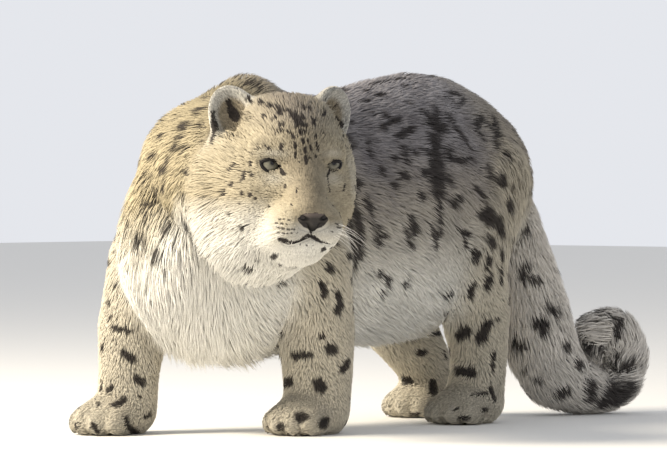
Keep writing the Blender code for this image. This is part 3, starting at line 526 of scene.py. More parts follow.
# %% Fields on a grid
def slope_of(field, points, step=0.0005):
    value = field(points)
    slope = np.empty_like(points)
    for axis in range(3):
        ahead = points.copy()
        ahead[:, axis] += step
        slope[:, axis] = (field(ahead) - value) / step
    return value, slope


class Grid:
    """A field measured on even points of a box."""

    def __init__(self, field, low, high, step):
        self.low, self.high, self.step = np.array(low), np.array(high), step
        count = np.ceil((self.high - self.low) / step).astype(int) + 1
        axes = [self.low[i] + step * np.arange(count[i]) for i in range(3)]
        points = np.stack(np.meshgrid(*axes, indexing="ij"), axis=-1).reshape(-1, 3)
        values = np.concatenate([field(some) for some in np.array_split(points, 16)]).reshape(count)
        self.rows = np.stack([values, *np.gradient(values, step)], axis=-1)
        print("grid:", count)

    def read(self, points):
        """The field's value and slope at some places."""
        place = (points - self.low) / self.step
        low = np.clip(np.floor(place).astype(int), 0, np.array(self.rows.shape[:3]) - 2)
        part = np.clip(place - low, 0, 1)
        total = np.zeros((len(points), 4))
        for corner in range(8):
            step = np.array([corner & 1, corner >> 1 & 1, corner >> 2 & 1])
            weight = np.prod(np.where(step, part, 1 - part), axis=1)
            at = low + step
            total += weight[:, None] * self.rows[at[:, 0], at[:, 1], at[:, 2]]
        return total[:, 0], total[:, 1:]


body_grid = Grid(skin_distance, (-0.22, -0.50, -0.03), (0.42, 0.82, 0.66), 0.008)
head_low, head_high = EYES_AT - (0.20, 0.17, 0.18), EYES_AT + (0.10, 0.17, 0.16)
head_grid = Grid(skin_distance, head_low, head_high, 0.003)


def read_skin(points):
    """The skin's distance and slope, from the finer grid where it reaches."""
    value, slope = body_grid.read(points)
    near = ((points > head_grid.low + 0.004) & (points < head_grid.high - 0.004)).all(axis=1)
    if near.any():
        value[near], slope[near] = head_grid.read(points[near])
    return value, slope


def read_exactly(points):
    """As read_skin, but worked out in full on the face and ears."""
    value, slope = read_skin(points)
    near = on_face(points) | on_ear(points)
    if near.any():
        value[near], slope[near] = slope_of(skin_distance, points[near])
    return value, slope


def brought_to(read, points, height, rounds=1, reach=0.012):
    """Points moved to a height over a field's zero, and the way out there."""
    for _ in range(rounds):
        value, slope = read(points)
        size = np.maximum((slope ** 2).sum(axis=1), 0.15)
        move = -((value - height) / size)[:, None] * slope
        far = np.linalg.norm(move, axis=1)[:, None]
        points = points + move * np.minimum(1, reach / np.maximum(far, 1e-9))
    return points, slope / np.maximum(np.linalg.norm(slope, axis=1), 1e-9)[:, None]


# %% [markdown]
# ## The skin
# One closed surface under all of the coat. Balls set along every part are fused by a voxel remesh into
# even quads, the head is divided twice more, and every corner is then drawn onto the skin's distance.

# %% Rough form
SKIN_VOXEL = 0.0065


def add_ball(shape, matrix, half, detail=3):
    fresh = bmesh.ops.create_icosphere(shape, subdivisions=detail, radius=1)["verts"]
    bmesh.ops.scale(shape, vec=half, verts=fresh)
    bmesh.ops.transform(shape, matrix=matrix, verts=fresh)


def add_line(shape, line, matrix):
    for a, b in zip(line, line[1:]):
        steps = max(2, int((Vector(b[:3]) - Vector(a[:3])).length / 0.02))
        for i in range(steps + 1):
            spot = Vector(a).lerp(Vector(b), i / steps)
            add_ball(shape, matrix @ Matrix.Translation(spot[:3]), [spot[3]] * 3, 2)


def head_matrix():
    return Matrix.Translation(EYES_AT) @ Matrix(HEAD_AXES.T.tolist()).to_4x4()


def linked(name, mesh):
    thing = bpy.data.objects.new(name, mesh)
    scene.collection.objects.link(thing)
    return thing


def rough_form():
    shape = bmesh.new()
    for y, top, low, half in TRUNK:
        for share in (-0.6, -0.2, 0.2, 0.6):
            height = (top - low) / 2
            middle = Vector((0, y, (top + low) / 2 + share * height))
            size = [half * math.sqrt(1 - share ** 2), 0.075, height * (1 - abs(share))]
            add_ball(shape, Matrix.Translation(middle), size)
    for line in LIMBS.values():
        add_line(shape, line, Matrix())
    for middle, half in [*HEAD_MASSES, THROAT]:
        add_ball(shape, head_matrix() @ Matrix.Translation(middle), half)
    add_line(shape, BRIDGE, head_matrix())
    for side in (1, -1):
        add_ball(shape, head_matrix() @ ear_frame(side), EAR_HALF)
    for x, y, heading in PAWS.values():
        place = Matrix.Translation((x, y, 0)) @ Matrix.Rotation(math.radians(heading), 4, "Z")
        add_ball(shape, place @ Matrix.Translation((0, 0, 0.031)), PAW_HALF)
        for across, ahead in TOE_ROW:
            add_ball(shape, place @ Matrix.Translation((across, ahead, 0.020)), TOE_HALF)
    mesh = bpy.data.meshes.new("skin")
    shape.to_mesh(mesh)
    shape.free()
    thing = linked("skin", mesh)
    fuse = thing.modifiers.new("fuse", "REMESH")
    fuse.mode = "VOXEL"
    fuse.voxel_size = SKIN_VOXEL
    view = bpy.context.evaluated_depsgraph_get()
    thing.data = bpy.data.meshes.new_from_object(thing.evaluated_get(view))
    thing.modifiers.clear()
    print("rough form:", len(thing.data.vertices), "corners")
    return thing


# %% Finer faces where the head needs them
def corners_of(mesh):
    flat = np.empty(len(mesh.vertices) * 3)
    mesh.vertices.foreach_get("co", flat)
    return flat.reshape(-1, 3)


def divided(mesh, wanted):
    """Divide the edges whose two ends are wanted."""
    keep = wanted(corners_of(mesh))
    shape = bmesh.new()
    shape.from_mesh(mesh)
    shape.verts.ensure_lookup_table()
    edges = [edge for edge in shape.edges if keep[edge.verts[0].index] and keep[edge.verts[1].index]]
    bmesh.ops.subdivide_edges(shape, edges=edges, cuts=1, use_grid_fill=True)
    shape.to_mesh(mesh)
    shape.free()


def on_head(points):
    local = to_head(points)
    return (local[:, 0] > -0.15) & (np.abs(local[:, 1]) < 0.15) & (local[:, 2] > -0.16)


def on_face(points):
    local = to_head(points)
    ahead = (local[:, 0] > -0.040) & (np.abs(local[:, 1]) < 0.085)
    return ahead & (local[:, 2] > -0.158) & (local[:, 2] < 0.030)


def on_ear(points):
    local = to_head(points)
    far = np.abs(local[:, 0] - EAR_PLACE[0]) < 0.06
    return far & (np.abs(np.abs(local[:, 1]) - EAR_PLACE[1]) < 0.06) & (local[:, 2] > 0.030)


def settle(mesh, read, rounds, calm):
    """Draw a mesh onto a field's zero, smoothing it in all but the last rounds."""
    points = corners_of(mesh)
    edges = np.empty(len(mesh.edges) * 2, dtype=np.int64)
    mesh.edges.foreach_get("vertices", edges)
    edges = edges.reshape(-1, 2)
    degree = np.bincount(edges.ravel(), minlength=len(points))[:, None]
    for turn in range(rounds):
        if turn < rounds - calm:
            total = np.zeros_like(points)
            for axis in range(3):
                total[:, axis] += np.bincount(edges[:, 0], points[edges[:, 1], axis], len(points))
                total[:, axis] += np.bincount(edges[:, 1], points[edges[:, 0], axis], len(points))
            points = 0.5 * points + 0.5 * total / np.maximum(degree, 1)
        points, _ = brought_to(read, points, 0.0)
    mesh.vertices.foreach_set("co", points.ravel())
    mesh.update()


def press_ears(mesh):
    """Press the front of each ear onto the bottom of its cup, which the field alone can't do."""
    points = corners_of(mesh)
    for side in (1, -1):
        ear = ear_space(to_head(points), side)
        inside = 1 - (ear[:, 1] / EAR_CUP_HALF[1]) ** 2 - ((ear[:, 2] - 0.002) / EAR_CUP_HALF[2]) ** 2
        deep = EAR_CUP_HALF[0] * np.sqrt(np.clip(inside, 0, 1))
        front = (inside > 0) & (np.abs(ear[:, 0] - EAR_CUP_AHEAD) < deep)
        ear[:, 0] = np.where(front, EAR_CUP_AHEAD - deep, ear[:, 0])
        frame_of_ear = np.array(ear_frame(side))
        points[front] = from_head(ear[front] @ frame_of_ear[:3, :3].T + frame_of_ear[:3, 3])
    mesh.vertices.foreach_set("co", points.ravel())
    mesh.update()


# %% Make the skin
FLOOR_GAP = 0.0006

skin = rough_form()
press_ears(skin.data)
settle(skin.data, read_skin, 6, 1)
press_ears(skin.data)
divided(skin.data, on_head)
settle(skin.data, read_skin, 3, 1)
press_ears(skin.data)
divided(skin.data, on_face)
settle(skin.data, read_exactly, 5, 2)
skin_points = corners_of(skin.data)
skin_points[:, 2] = np.maximum(skin_points[:, 2], FLOOR_GAP)
skin.data.vertices.foreach_set("co", skin_points.ravel())
skin.data.shade_smooth()


def triangles_of(mesh):
    mesh.calc_loop_triangles()
    faces = np.empty(len(mesh.loop_triangles) * 3, dtype=np.int64)
    mesh.loop_triangles.foreach_get("vertices", faces)
    return faces.reshape(-1, 3)


skin_faces = triangles_of(skin.data)
skin_shares = near_parts(part_distances(skin_points))
_, skin_out = brought_to(read_skin, skin_points, 0.0)
skin_depth = COAT_SHARE * hair_length(skin_points, skin_shares)
coat_points = skin_points + skin_out * skin_depth[:, None]
print("skin:", len(skin_points), "corners,", len(skin_faces), "triangles")

# %% [markdown]
# ## Soft noise
# Markings and the lie of the hair are never quite even. This gives any place a smooth value between
# -1 and 1 that changes over a chosen distance, from one seeded block of numbers.

# %% Soft noise
NOISE = np.random.default_rng(5).uniform(-1, 1, (4, 32, 32, 32))


def soft_noise(points, size, layer=0):
    place = points / size
    low = np.floor(place).astype(int)
    part = place - low
    part = part * part * (3 - 2 * part)
    total = np.zeros(len(points))
    for corner in range(8):
        step = np.array([corner & 1, corner >> 1 & 1, corner >> 2 & 1])
        weight = np.prod(np.where(step, part, 1 - part), axis=1)
        at = (low + step) % 32
        total += weight * NOISE[layer, at[:, 0], at[:, 1], at[:, 2]]
    return total


# %% [markdown]
# ## Marks
# The animal's spots are read off the picture one by one as short strokes: where each begins and ends
# in the picture, and half its width, in pixels. A few of the strokes are painted shadow instead: the
# hollow of the right ear, a groove behind the left foreleg and a crease on the flank. Every end is put
# on the coat where the camera sees it, so a stroke is then a place on the body like any other.

# %% Strokes on the face and crown
FACE_MARKS = [
    (254.0, 148.3, 258.5, 145.2, 1.4), (260.5, 144.3, 264.5, 144.4, 1.5), (266.0, 145.0, 269.2, 148.0, 1.4),
    (280.4, 141.5, 280.2, 149.6, 1.7), (285.8, 129.2, 290.6, 130.0, 1.4), (291.6, 131.5, 294.0, 137.0, 1.6),
    (294.6, 140.0, 295.2, 147.5, 1.8), (295.0, 150.0, 295.0, 156.6, 1.2), (292.5, 111.5, 296.0, 116.5, 2.5),
    (296.5, 118.0, 299.0, 124.0, 1.8), (299.5, 126.0, 301.5, 133.5, 2.0), (302.5, 136.0, 304.2, 143.0, 2.1),
    (304.8, 145.0, 305.6, 151.5, 1.8), (305.8, 153.5, 306.6, 163.5, 1.8), (298.7, 160.2, 299.4, 161.5, 1.2),
    (302.0, 128.6, 306.8, 130.4, 1.4), (308.2, 136.8, 309.0, 140.2, 1.6), (310.6, 143.4, 311.9, 149.6, 1.6),
    (309.6, 155.6, 310.0, 157.4, 1.3), (316.4, 132.6, 317.0, 136.2, 1.5), (317.2, 140.6, 319.0, 149.8, 1.6),
    (316.0, 154.6, 316.4, 156.0, 1.3), (319.0, 127.2, 322.4, 129.0, 1.2), (323.6, 129.8, 326.6, 132.2, 1.2),
    (277.6, 121.0, 282.8, 121.2, 1.7), (273.6, 130.2, 277.0, 128.4, 1.3), (278.4, 127.6, 283.0, 127.0, 1.3),
    (270.8, 116.4, 274.0, 113.2, 1.6), (278.0, 109.0, 279.0, 110.0, 1.7), (258.6, 100.8, 263.6, 102.0, 1.8),
    (266.0, 102.2, 271.0, 103.0, 1.8), (273.5, 103.4, 279.0, 104.0, 1.8), (281.4, 106.4, 287.0, 107.6, 1.8),
    (289.0, 108.6, 296.2, 110.6, 2.1), (260.6, 113.4, 263.0, 112.8, 1.6), (299.4, 112.0, 303.4, 116.2, 2.2),
    (301.4, 103.4, 306.0, 104.4, 1.8), (307.6, 104.6, 310.8, 105.2, 1.8), (299.6, 119.2, 302.0, 121.0, 1.6),
    (304.0, 122.0, 306.6, 123.6, 1.6), (311.8, 114.6, 316.2, 117.6, 1.6), (313.4, 121.0, 314.6, 121.6, 1.4),
    (324.5, 111.5, 325.5, 113.0, 1.9), (341.8, 122.0, 343.0, 124.5, 1.5), (246.5, 151.0, 247.5, 153.0, 1.0),
    (284.9, 183.4, 284.0, 188.0, 1.1), (296.4, 187.0, 295.4, 193.0, 0.8), (290.2, 203.0, 291.2, 205.2, 1.1),
    (225.0, 168.4, 232.0, 162.0, 1.3), (227.6, 183.2, 228.2, 184.2, 1.9), (241.0, 169.7, 241.0, 176.0, 1.2),
    (241.0, 176.0, 239.2, 181.2, 1.2), (248.2, 161.6, 246.7, 164.8, 1.4), (249.9, 154.0, 250.2, 155.0, 1.1),
    (249.4, 173.0, 249.2, 175.4, 1.3), (238.6, 191.0, 240.0, 194.0, 1.6), (247.6, 193.6, 248.8, 195.6, 1.4),
    (218.6, 190.0, 218.6, 196.5, 1.4), (225.0, 215.6, 227.0, 215.2, 1.6), (237.6, 229.4, 240.6, 231.2, 2.1),
    (254.0, 197.6, 255.0, 199.0, 0.9), (346.6, 183.0, 344.6, 191.6, 1.0), (338.0, 240.0, 342.0, 245.0, 2.4),
    (321.5, 253.0, 326.5, 250.6, 1.8), (267.5, 205.6, 268.5, 206.4, 1.3), (236.5, 203.2, 238.0, 203.8, 1.2),
    (333.5, 169.5, 332.0, 171.5, 0.9), (328.2, 177.0, 330.4, 192.0, 0.8), (280.6, 168.6, 284.2, 174.4, 1.9),
    (328.6, 167.6, 327.4, 176.4, 1.5), (258.8, 161.0, 263.0, 163.0, 1.5), (340.5, 160.8, 343.0, 161.2, 1.1),
]
EAR_MARKS = [
    # The three strokes on the next line are painted shadow in the hollow of the right ear's cup.
    (226.5, 99.0, 231.0, 109.0, 3.0), (230.0, 107.0, 236.0, 117.0, 4.6), (230.5, 112.0, 237.0, 118.0, 4.4),
    (212.5, 110.0, 211.8, 124.0, 1.8), (211.6, 122.0, 211.2, 137.0, 3.6), (211.2, 136.0, 210.8, 144.0, 2.2),
    (226.0, 85.4, 238.0, 87.0, 0.9), (238.0, 87.0, 248.0, 94.0, 1.0), (248.0, 94.0, 253.0, 104.0, 1.3),
    (325.0, 108.0, 324.0, 113.0, 1.8), (334.0, 106.0, 338.0, 103.0, 0.9), (336.0, 116.0, 340.0, 120.0, 1.5),
]
WHISKER_MARKS = [
    (277.5, 219.5, 280.0, 219.2, 1.0), (282.0, 219.0, 284.5, 218.8, 1.0), (287.5, 219.8, 289.5, 219.8, 0.9),
    (274.5, 223.0, 277.0, 223.4, 1.0), (279.5, 223.6, 282.0, 223.8, 1.0), (285.0, 224.0, 287.0, 224.2, 0.9),
    (275.5, 227.2, 279.0, 228.2, 1.1), (280.5, 228.4, 284.0, 229.0, 1.1), (285.8, 229.4, 289.0, 230.0, 1.0),
    (290.5, 229.4, 294.5, 229.8, 0.9), (275.0, 232.6, 279.0, 233.6, 1.0), (281.0, 233.4, 284.0, 234.0, 0.9),
    (286.0, 233.8, 288.0, 234.0, 0.8), (289.8, 233.6, 292.2, 234.0, 0.8), (296.0, 233.6, 297.0, 233.8, 0.7),
    (336.0, 223.5, 340.0, 225.0, 0.9), (337.5, 227.5, 342.0, 228.5, 0.9), (331.0, 232.0, 334.0, 232.6, 0.7),
]
MOUTH_MARKS = [
    (277.4, 239.0, 287.0, 242.0, 3.0), (287.0, 242.4, 299.0, 241.4, 1.6), (299.0, 241.2, 305.8, 236.6, 1.7),
    (305.8, 236.4, 311.5, 236.2, 1.7), (311.5, 236.6, 318.6, 241.6, 1.7), (318.6, 242.0, 324.0, 243.0, 1.5),
    (311.0, 229.0, 310.8, 234.5, 0.9), (322.0, 250.5, 325.5, 249.0, 2.2), (306.0, 246.5, 307.0, 246.8, 0.8),
    (300.0, 245.5, 301.0, 245.6, 0.7), (312.5, 246.5, 313.5, 246.3, 0.7),
]

# %% Strokes on the neck, shoulder and breast
SHOULDER_MARKS = [
    (246.7, 79.1, 259.4, 80.4, 2.2), (259.4, 80.4, 265.8, 88.0, 2.6), (238.4, 84.9, 246.0, 85.5, 1.5),
    (196.9, 99.5, 214.8, 93.8, 1.5), (190.6, 113.6, 194.4, 107.8, 1.9), (194.4, 107.8, 202.0, 107.2, 1.7),
    (168.9, 120.6, 176.5, 115.5, 2.2), (176.5, 125.0, 182.9, 127.6, 2.9), (197.6, 121.2, 195.7, 128.9, 1.4),
    (154.8, 137.8, 160.0, 136.5, 1.8), (171.4, 139.0, 178.4, 136.5, 1.9), (170.2, 147.0, 171.4, 150.0, 2.6),
    (176.5, 150.6, 182.9, 148.0, 2.2), (194.4, 141.6, 197.0, 140.4, 1.2), (143.4, 159.5, 154.8, 155.0, 1.5),
    (161.2, 160.8, 164.4, 162.0, 2.4), (154.8, 172.9, 163.8, 171.0, 2.0), (178.5, 174.4, 186.7, 172.9, 1.5),
    (133.8, 181.2, 139.5, 183.0, 1.5), (139.5, 182.4, 146.6, 177.3, 1.8), (158.7, 186.3, 161.2, 196.5, 2.2),
    (143.4, 193.3, 151.0, 196.5, 2.4), (179.0, 198.0, 179.0, 202.9, 1.4), (134.4, 211.1, 143.4, 211.8, 2.4),
    (186.7, 206.7, 188.0, 210.5, 1.3), (161.2, 213.0, 161.2, 220.7, 2.6), (161.2, 220.7, 166.3, 228.4, 2.6),
    (167.6, 219.4, 168.9, 225.8, 1.8), (139.5, 224.5, 140.8, 227.0, 1.6), (119.5, 238.4, 124.2, 232.2, 2.2),
    (181.6, 222.0, 184.2, 227.0, 1.5), (185.5, 233.5, 190.6, 231.5, 2.3), (130.0, 249.5, 142.0, 248.0, 3.0),
    (134.0, 244.0, 137.0, 254.0, 1.8), (180.4, 246.2, 189.3, 252.6, 3.0), (157.0, 240.0, 157.4, 245.0, 1.4),
    (147.9, 263.8, 153.0, 261.2, 1.8), (153.0, 261.2, 160.6, 270.1, 2.0), (160.6, 281.6, 164.0, 285.5, 1.3),
    (206.8, 269.6, 211.2, 266.5, 1.7), (239.5, 275.0, 249.5, 276.5, 1.6), (254.0, 263.8, 256.2, 266.3, 1.2),
    (270.8, 260.8, 276.0, 256.6, 1.5), (288.1, 266.3, 299.6, 272.7, 2.3), (280.8, 289.0, 287.6, 285.6, 1.6),
]

# %% Strokes on the legs
LEG_MARKS = [
    (115.4, 263.8, 116.8, 263.0, 2.2), (113.3, 289.0, 115.2, 287.3, 1.8), (121.8, 284.2, 123.0, 287.9, 1.5),
    (106.7, 303.6, 107.9, 307.3, 2.2), (106.7, 323.0, 112.1, 317.0, 1.3), (109.7, 330.3, 123.0, 331.5, 2.0),
    (123.0, 331.5, 133.9, 335.2, 1.6), (100.0, 347.3, 101.2, 353.3, 2.8), (120.6, 353.3, 135.2, 363.0, 3.1),
    (135.2, 378.8, 146.1, 387.3, 2.7), (100.0, 381.2, 100.0, 392.0, 1.9), (106.0, 392.0, 113.3, 387.3, 2.1),
    (112.1, 405.5, 125.5, 399.4, 2.8), (137.6, 397.0, 141.2, 398.8, 1.3), (97.4, 401.8, 97.4, 406.7, 1.3),
    (152.1, 369.0, 159.6, 380.2, 1.3), (125.5, 416.4, 127.9, 427.3, 2.6), (127.9, 427.3, 136.0, 435.5, 2.4),
    (90.9, 424.0, 96.8, 434.0, 1.6), (143.6, 418.8, 152.1, 416.4, 1.5), (75.5, 424.3, 76.3, 431.5, 1.0),
    (337.3, 242.6, 341.2, 246.4, 2.6), (348.8, 261.7, 351.4, 256.6, 2.7), (328.8, 270.6, 335.6, 270.6, 3.3),
    (320.8, 284.6, 327.1, 291.0, 2.3), (327.1, 291.0, 325.9, 300.0, 2.9), (337.3, 294.8, 343.7, 303.8, 2.7),
    (343.7, 303.8, 337.3, 316.5, 3.4), (351.4, 321.6, 359.3, 315.3, 2.6), (352.7, 326.7, 355.2, 333.0, 2.5),
    (319.5, 340.8, 325.9, 338.2, 2.0), (326.9, 349.0, 337.6, 354.0, 4.4), (342.2, 372.9, 350.4, 362.2, 3.8),
    (291.4, 358.6, 313.1, 357.3, 2.7), (282.2, 387.4, 291.7, 383.4, 3.8), (316.7, 383.9, 323.6, 390.8, 4.8),
    (296.0, 417.3, 303.5, 417.3, 4.5), (320.2, 425.0, 329.0, 423.7, 4.2), (276.8, 429.0, 283.8, 427.0, 2.6),
    (464.2, 233.5, 474.4, 237.3, 2.9), (467.0, 241.0, 467.4, 252.0, 2.2), (480.0, 253.6, 475.5, 265.8, 2.9),
    (490.8, 261.2, 487.7, 272.0, 3.1), (492.3, 276.5, 489.3, 293.3, 3.8), (503.6, 258.0, 503.0, 264.3, 2.4),
    (503.0, 268.9, 503.0, 287.2, 2.4), (477.0, 285.7, 470.9, 301.0, 3.1), (445.9, 304.6, 454.6, 295.9, 2.8),
    (431.0, 334.7, 441.8, 334.7, 2.0), (457.0, 341.3, 469.9, 331.0, 4.3), (479.5, 344.4, 491.3, 323.4, 4.6),
    (500.0, 320.4, 500.0, 324.4, 1.6), (453.5, 371.5, 476.0, 375.6, 3.6), (418.9, 354.6, 428.6, 354.6, 3.0),
    (402.0, 384.0, 411.5, 379.5, 3.6), (446.0, 352.0, 448.0, 360.0, 2.0), (434.2, 383.6, 432.6, 394.3, 3.6), (470.9, 394.3, 487.7, 394.3, 1.5),
    (490.8, 388.2, 495.4, 403.0, 2.2), (495.9, 353.0, 493.8, 374.4, 1.8), (409.0, 415.4, 418.9, 413.5, 1.3),
    (457.0, 419.4, 469.4, 417.4, 1.5), (452.5, 411.0, 458.6, 408.0, 1.0), (483.0, 409.6, 487.7, 411.2, 1.7),
]

# %% Strokes on the flank, rump and tail
FLANK_MARKS = [
    (372.0, 82.0, 390.0, 78.0, 1.4), (390.0, 78.0, 409.0, 75.6, 1.4), (367.0, 88.0, 371.0, 87.4, 1.9),
    (381.0, 94.4, 388.7, 90.6, 2.1), (404.0, 84.2, 409.0, 83.0, 1.9), (367.0, 99.5, 374.6, 98.3, 1.9),
    (384.8, 128.9, 391.2, 122.5, 2.5), (391.2, 122.5, 404.0, 117.4, 2.3), (401.4, 136.5, 418.0, 127.6, 2.3),
    (349.0, 104.6, 355.5, 114.8, 2.0), (376.5, 111.0, 378.5, 114.0, 1.8), (424.4, 111.0, 427.0, 108.5, 1.9),
    (411.0, 102.5, 414.0, 101.5, 1.9), (437.4, 104.6, 441.2, 113.6, 2.8), (433.6, 126.3, 451.4, 128.9, 3.4),
    (435.0, 133.0, 437.0, 152.0, 3.4), (437.0, 152.0, 441.0, 174.0, 3.6), (427.0, 149.0, 432.0, 151.8, 2.4),
    (416.7, 149.3, 421.8, 157.0, 2.1), (396.3, 159.5, 401.4, 158.2, 2.3), (384.8, 171.0, 387.4, 174.8, 2.8),
    (405.3, 178.6, 411.6, 176.0, 3.2), (396.3, 186.3, 402.7, 187.6, 2.8), (424.4, 176.0, 433.0, 171.0, 2.4),
    (424.4, 195.2, 427.0, 199.0, 2.7), (435.9, 194.0, 448.6, 197.5, 3.3), (450.2, 176.0, 456.5, 185.0, 3.2),
    (446.3, 182.4, 447.6, 197.0, 3.0), (360.6, 183.7, 364.4, 186.3, 3.4), (359.3, 192.7, 355.5, 210.5, 2.4),
    (356.8, 210.5, 361.9, 229.6, 2.8), (361.9, 229.6, 359.0, 245.0, 2.8), (368.0, 200.0, 374.6, 217.0, 1.8),
    (380.5, 230.0, 386.0, 230.0, 2.5), (381.0, 236.0, 382.6, 248.8, 2.6), (386.5, 238.6, 392.0, 238.0, 2.2),
    (414.2, 217.4, 417.2, 224.6, 2.4), (409.0, 229.0, 410.0, 242.0, 1.6), (421.5, 229.0, 421.8, 240.0, 1.6),
    # The last two strokes on the next line are painted shadow: the dark groove behind the left foreleg.
    (411.6, 246.2, 417.0, 248.8, 2.3), (357.8, 249.0, 359.0, 270.0, 2.8), (359.0, 270.0, 352.0, 284.0, 2.4),
    (381.5, 276.0, 388.0, 279.0, 2.3), (391.5, 281.0, 393.5, 290.0, 2.5), (386.0, 298.0, 388.5, 296.0, 2.3),
    (407.0, 291.0, 415.3, 281.6, 2.5), (448.9, 94.4, 461.6, 107.2, 1.6), (451.4, 93.2, 460.0, 92.4, 1.6),
    (460.0, 92.4, 468.0, 97.0, 1.7), (468.0, 97.0, 462.6, 104.0, 1.6), (451.4, 111.0, 459.0, 126.3, 1.8),
    (459.0, 126.3, 474.4, 150.6, 1.9), (479.5, 127.6, 485.9, 116.1, 2.2), (485.9, 116.1, 497.3, 131.4, 2.2),
    (497.3, 131.4, 501.5, 149.4, 2.4), (482.0, 132.0, 488.0, 142.0, 2.0), (505.0, 117.4, 507.6, 121.2, 2.0),
    (432.0, 112.0, 436.0, 128.0, 3.6), (437.0, 160.0, 438.0, 190.0, 4.2), (441.0, 174.0, 447.0, 196.0, 3.6),
    # The first stroke on the next line is painted shadow along a crease on the flank.
    (442.0, 200.0, 443.0, 240.0, 2.2), (436.0, 226.0, 440.0, 252.0, 2.0), (484.0, 214.0, 496.0, 230.0, 3.6),
    (361.0, 210.0, 364.0, 262.0, 3.0), (352.0, 220.0, 356.0, 262.0, 2.6), (372.0, 196.0, 378.0, 236.0, 1.6),
    (416.0, 216.0, 417.0, 240.0, 3.0), (512.7, 139.0, 521.9, 137.0, 3.0), (511.0, 156.0, 512.0, 159.0, 2.2), (454.0, 146.7, 451.4, 159.5, 1.9),
    (451.4, 159.5, 466.7, 163.3, 1.9), (466.7, 163.3, 477.0, 159.5, 1.9), (452.7, 205.4, 461.6, 208.0, 2.9),
    (461.6, 208.0, 464.2, 197.8, 2.7), (477.0, 187.6, 487.1, 197.8, 2.1), (487.1, 197.8, 488.4, 204.0, 1.9),
    (491.0, 164.6, 493.5, 180.0, 2.1), (501.2, 178.6, 505.0, 188.8, 2.7), (513.9, 187.6, 514.3, 190.4, 1.9),
    (508.8, 204.1, 512.7, 216.9, 2.5), (479.5, 219.4, 492.2, 210.5, 2.8), (492.2, 210.5, 497.3, 227.0, 2.7),
    (440.0, 112.0, 443.0, 150.0, 2.8), (442.0, 150.0, 447.0, 190.0, 3.0), (385.0, 110.0, 392.0, 118.0, 2.2),
    (407.0, 145.0, 412.0, 165.0, 2.2), (497.0, 116.0, 503.0, 138.0, 2.4), (516.0, 126.0, 524.0, 134.0, 2.4),
    (503.0, 176.0, 507.0, 190.0, 2.2), (511.0, 202.0, 514.0, 216.0, 2.2), (372.0, 140.0, 376.0, 160.0, 2.0), (489.7, 238.6, 496.0, 251.3, 3.1), (498.0, 218.0, 503.0, 240.0, 4.0), (524.0, 237.3, 530.8, 236.0, 3.0), (502.0, 254.4, 502.8, 257.4, 2.3),
]
TAIL_MARKS = [
    (521.0, 278.0, 532.0, 270.0, 2.6), (520.5, 280.0, 530.0, 286.0, 3.1), (532.5, 287.2, 543.4, 283.6, 3.2),
    (526.0, 236.0, 530.0, 231.0, 2.4), (549.2, 311.0, 562.9, 318.4, 3.3), (513.0, 349.0, 517.0, 343.0, 2.0),
    (533.5, 328.7, 550.6, 328.7, 3.7), (549.0, 329.5, 543.2, 339.8, 3.3), (510.8, 351.6, 526.7, 351.6, 3.3),
    (564.9, 351.6, 573.4, 350.4, 3.2), (580.2, 370.8, 585.3, 364.5, 3.6), (521.4, 376.6, 527.7, 375.4, 1.9),
    (534.7, 385.0, 543.4, 386.0, 2.2), (558.5, 401.8, 573.2, 393.0, 3.2), (594.5, 382.6, 594.5, 404.4, 4.6),
    (600.3, 404.4, 613.8, 406.8, 5.4), (608.0, 396.0, 630.0, 398.0, 6.0), (626.9, 391.3, 628.0, 407.2, 8.0), (637.8, 381.0, 638.0, 401.2, 4.6),
    (618.3, 345.8, 618.3, 356.3, 3.8), (624.3, 365.9, 636.8, 357.3, 4.2), (619.7, 319.4, 611.2, 330.3, 4.4),
    (591.9, 311.8, 604.2, 311.0, 2.4), (587.3, 351.6, 604.2, 360.0, 2.9),
]
MARK_GROUPS = [  # strokes, how dark they are, how soft their edge is, and how much wider than read
    (FACE_MARKS, 0.96, 0.16, 1.0), (EAR_MARKS, 0.97, 0.22, 1.0), (WHISKER_MARKS, 0.85, 0.20, 1.0),
    (MOUTH_MARKS, 0.98, 0.15, 1.0), (SHOULDER_MARKS, 0.95, 0.36, 1.95), (LEG_MARKS, 0.97, 0.28, 1.45),
    (FLANK_MARKS, 0.94, 0.42, 1.85), (TAIL_MARKS, 0.96, 0.38, 1.7),
]

# %% Put the strokes on the coat
coat_tree = BVHTree.FromPolygons(coat_points.tolist(), skin_faces.tolist())
BODY_MIDDLE = (360.0, 240.0)
PIXEL = 1 / 590.0                 # the width of a pixel on the animal, in metres


def seen_at(u, v):
    """Where the camera sees the coat at a place of the picture, or just inside its edge."""
    for inward in range(8):
        share = inward / 60
        place = (u + share * (BODY_MIDDLE[0] - u), v + share * (BODY_MIDDLE[1] - v))
        hit = coat_tree.ray_cast(Vector(view_from), ray_through(*place))[0]
        if hit is not None:
            return np.array(hit)
    return None


def strokes_seen():
    """Both ends, half width, darkness and softness of every stroke that the camera sees."""
    rows, missed = [], 0
    for strokes, dark, soft, wider in MARK_GROUPS:
        for u0, v0, u1, v1, half in strokes:
            if strokes is FACE_MARKS and (v0 < 126 or (u0 < 258 and v0 > 150)):
                half = half * (1.9 if v0 < 126 else 1.5)
            a, b = seen_at(u0, v0), seen_at(u1, v1)
            if a is None or b is None or np.linalg.norm(a - b) > 0.09:
                missed += 1
                continue
            half = half * wider * PIXEL
            pull = (b - a) * min(0.35, 0.7 * half / max(np.linalg.norm(b - a), 1e-6))
            rows.append((*(a + pull), *(b - pull), half, dark, soft))
    print("strokes:", len(rows), "missed:", missed)
    return np.array(rows)


# %% [markdown]
# ## Marks on the sides that the picture doesn't show
# The far side, the back and the rear of the head carry marks of the same kinds: broken rings on the
# body, bars across the legs and bands on the tail. They are scattered evenly from a seeded draw.

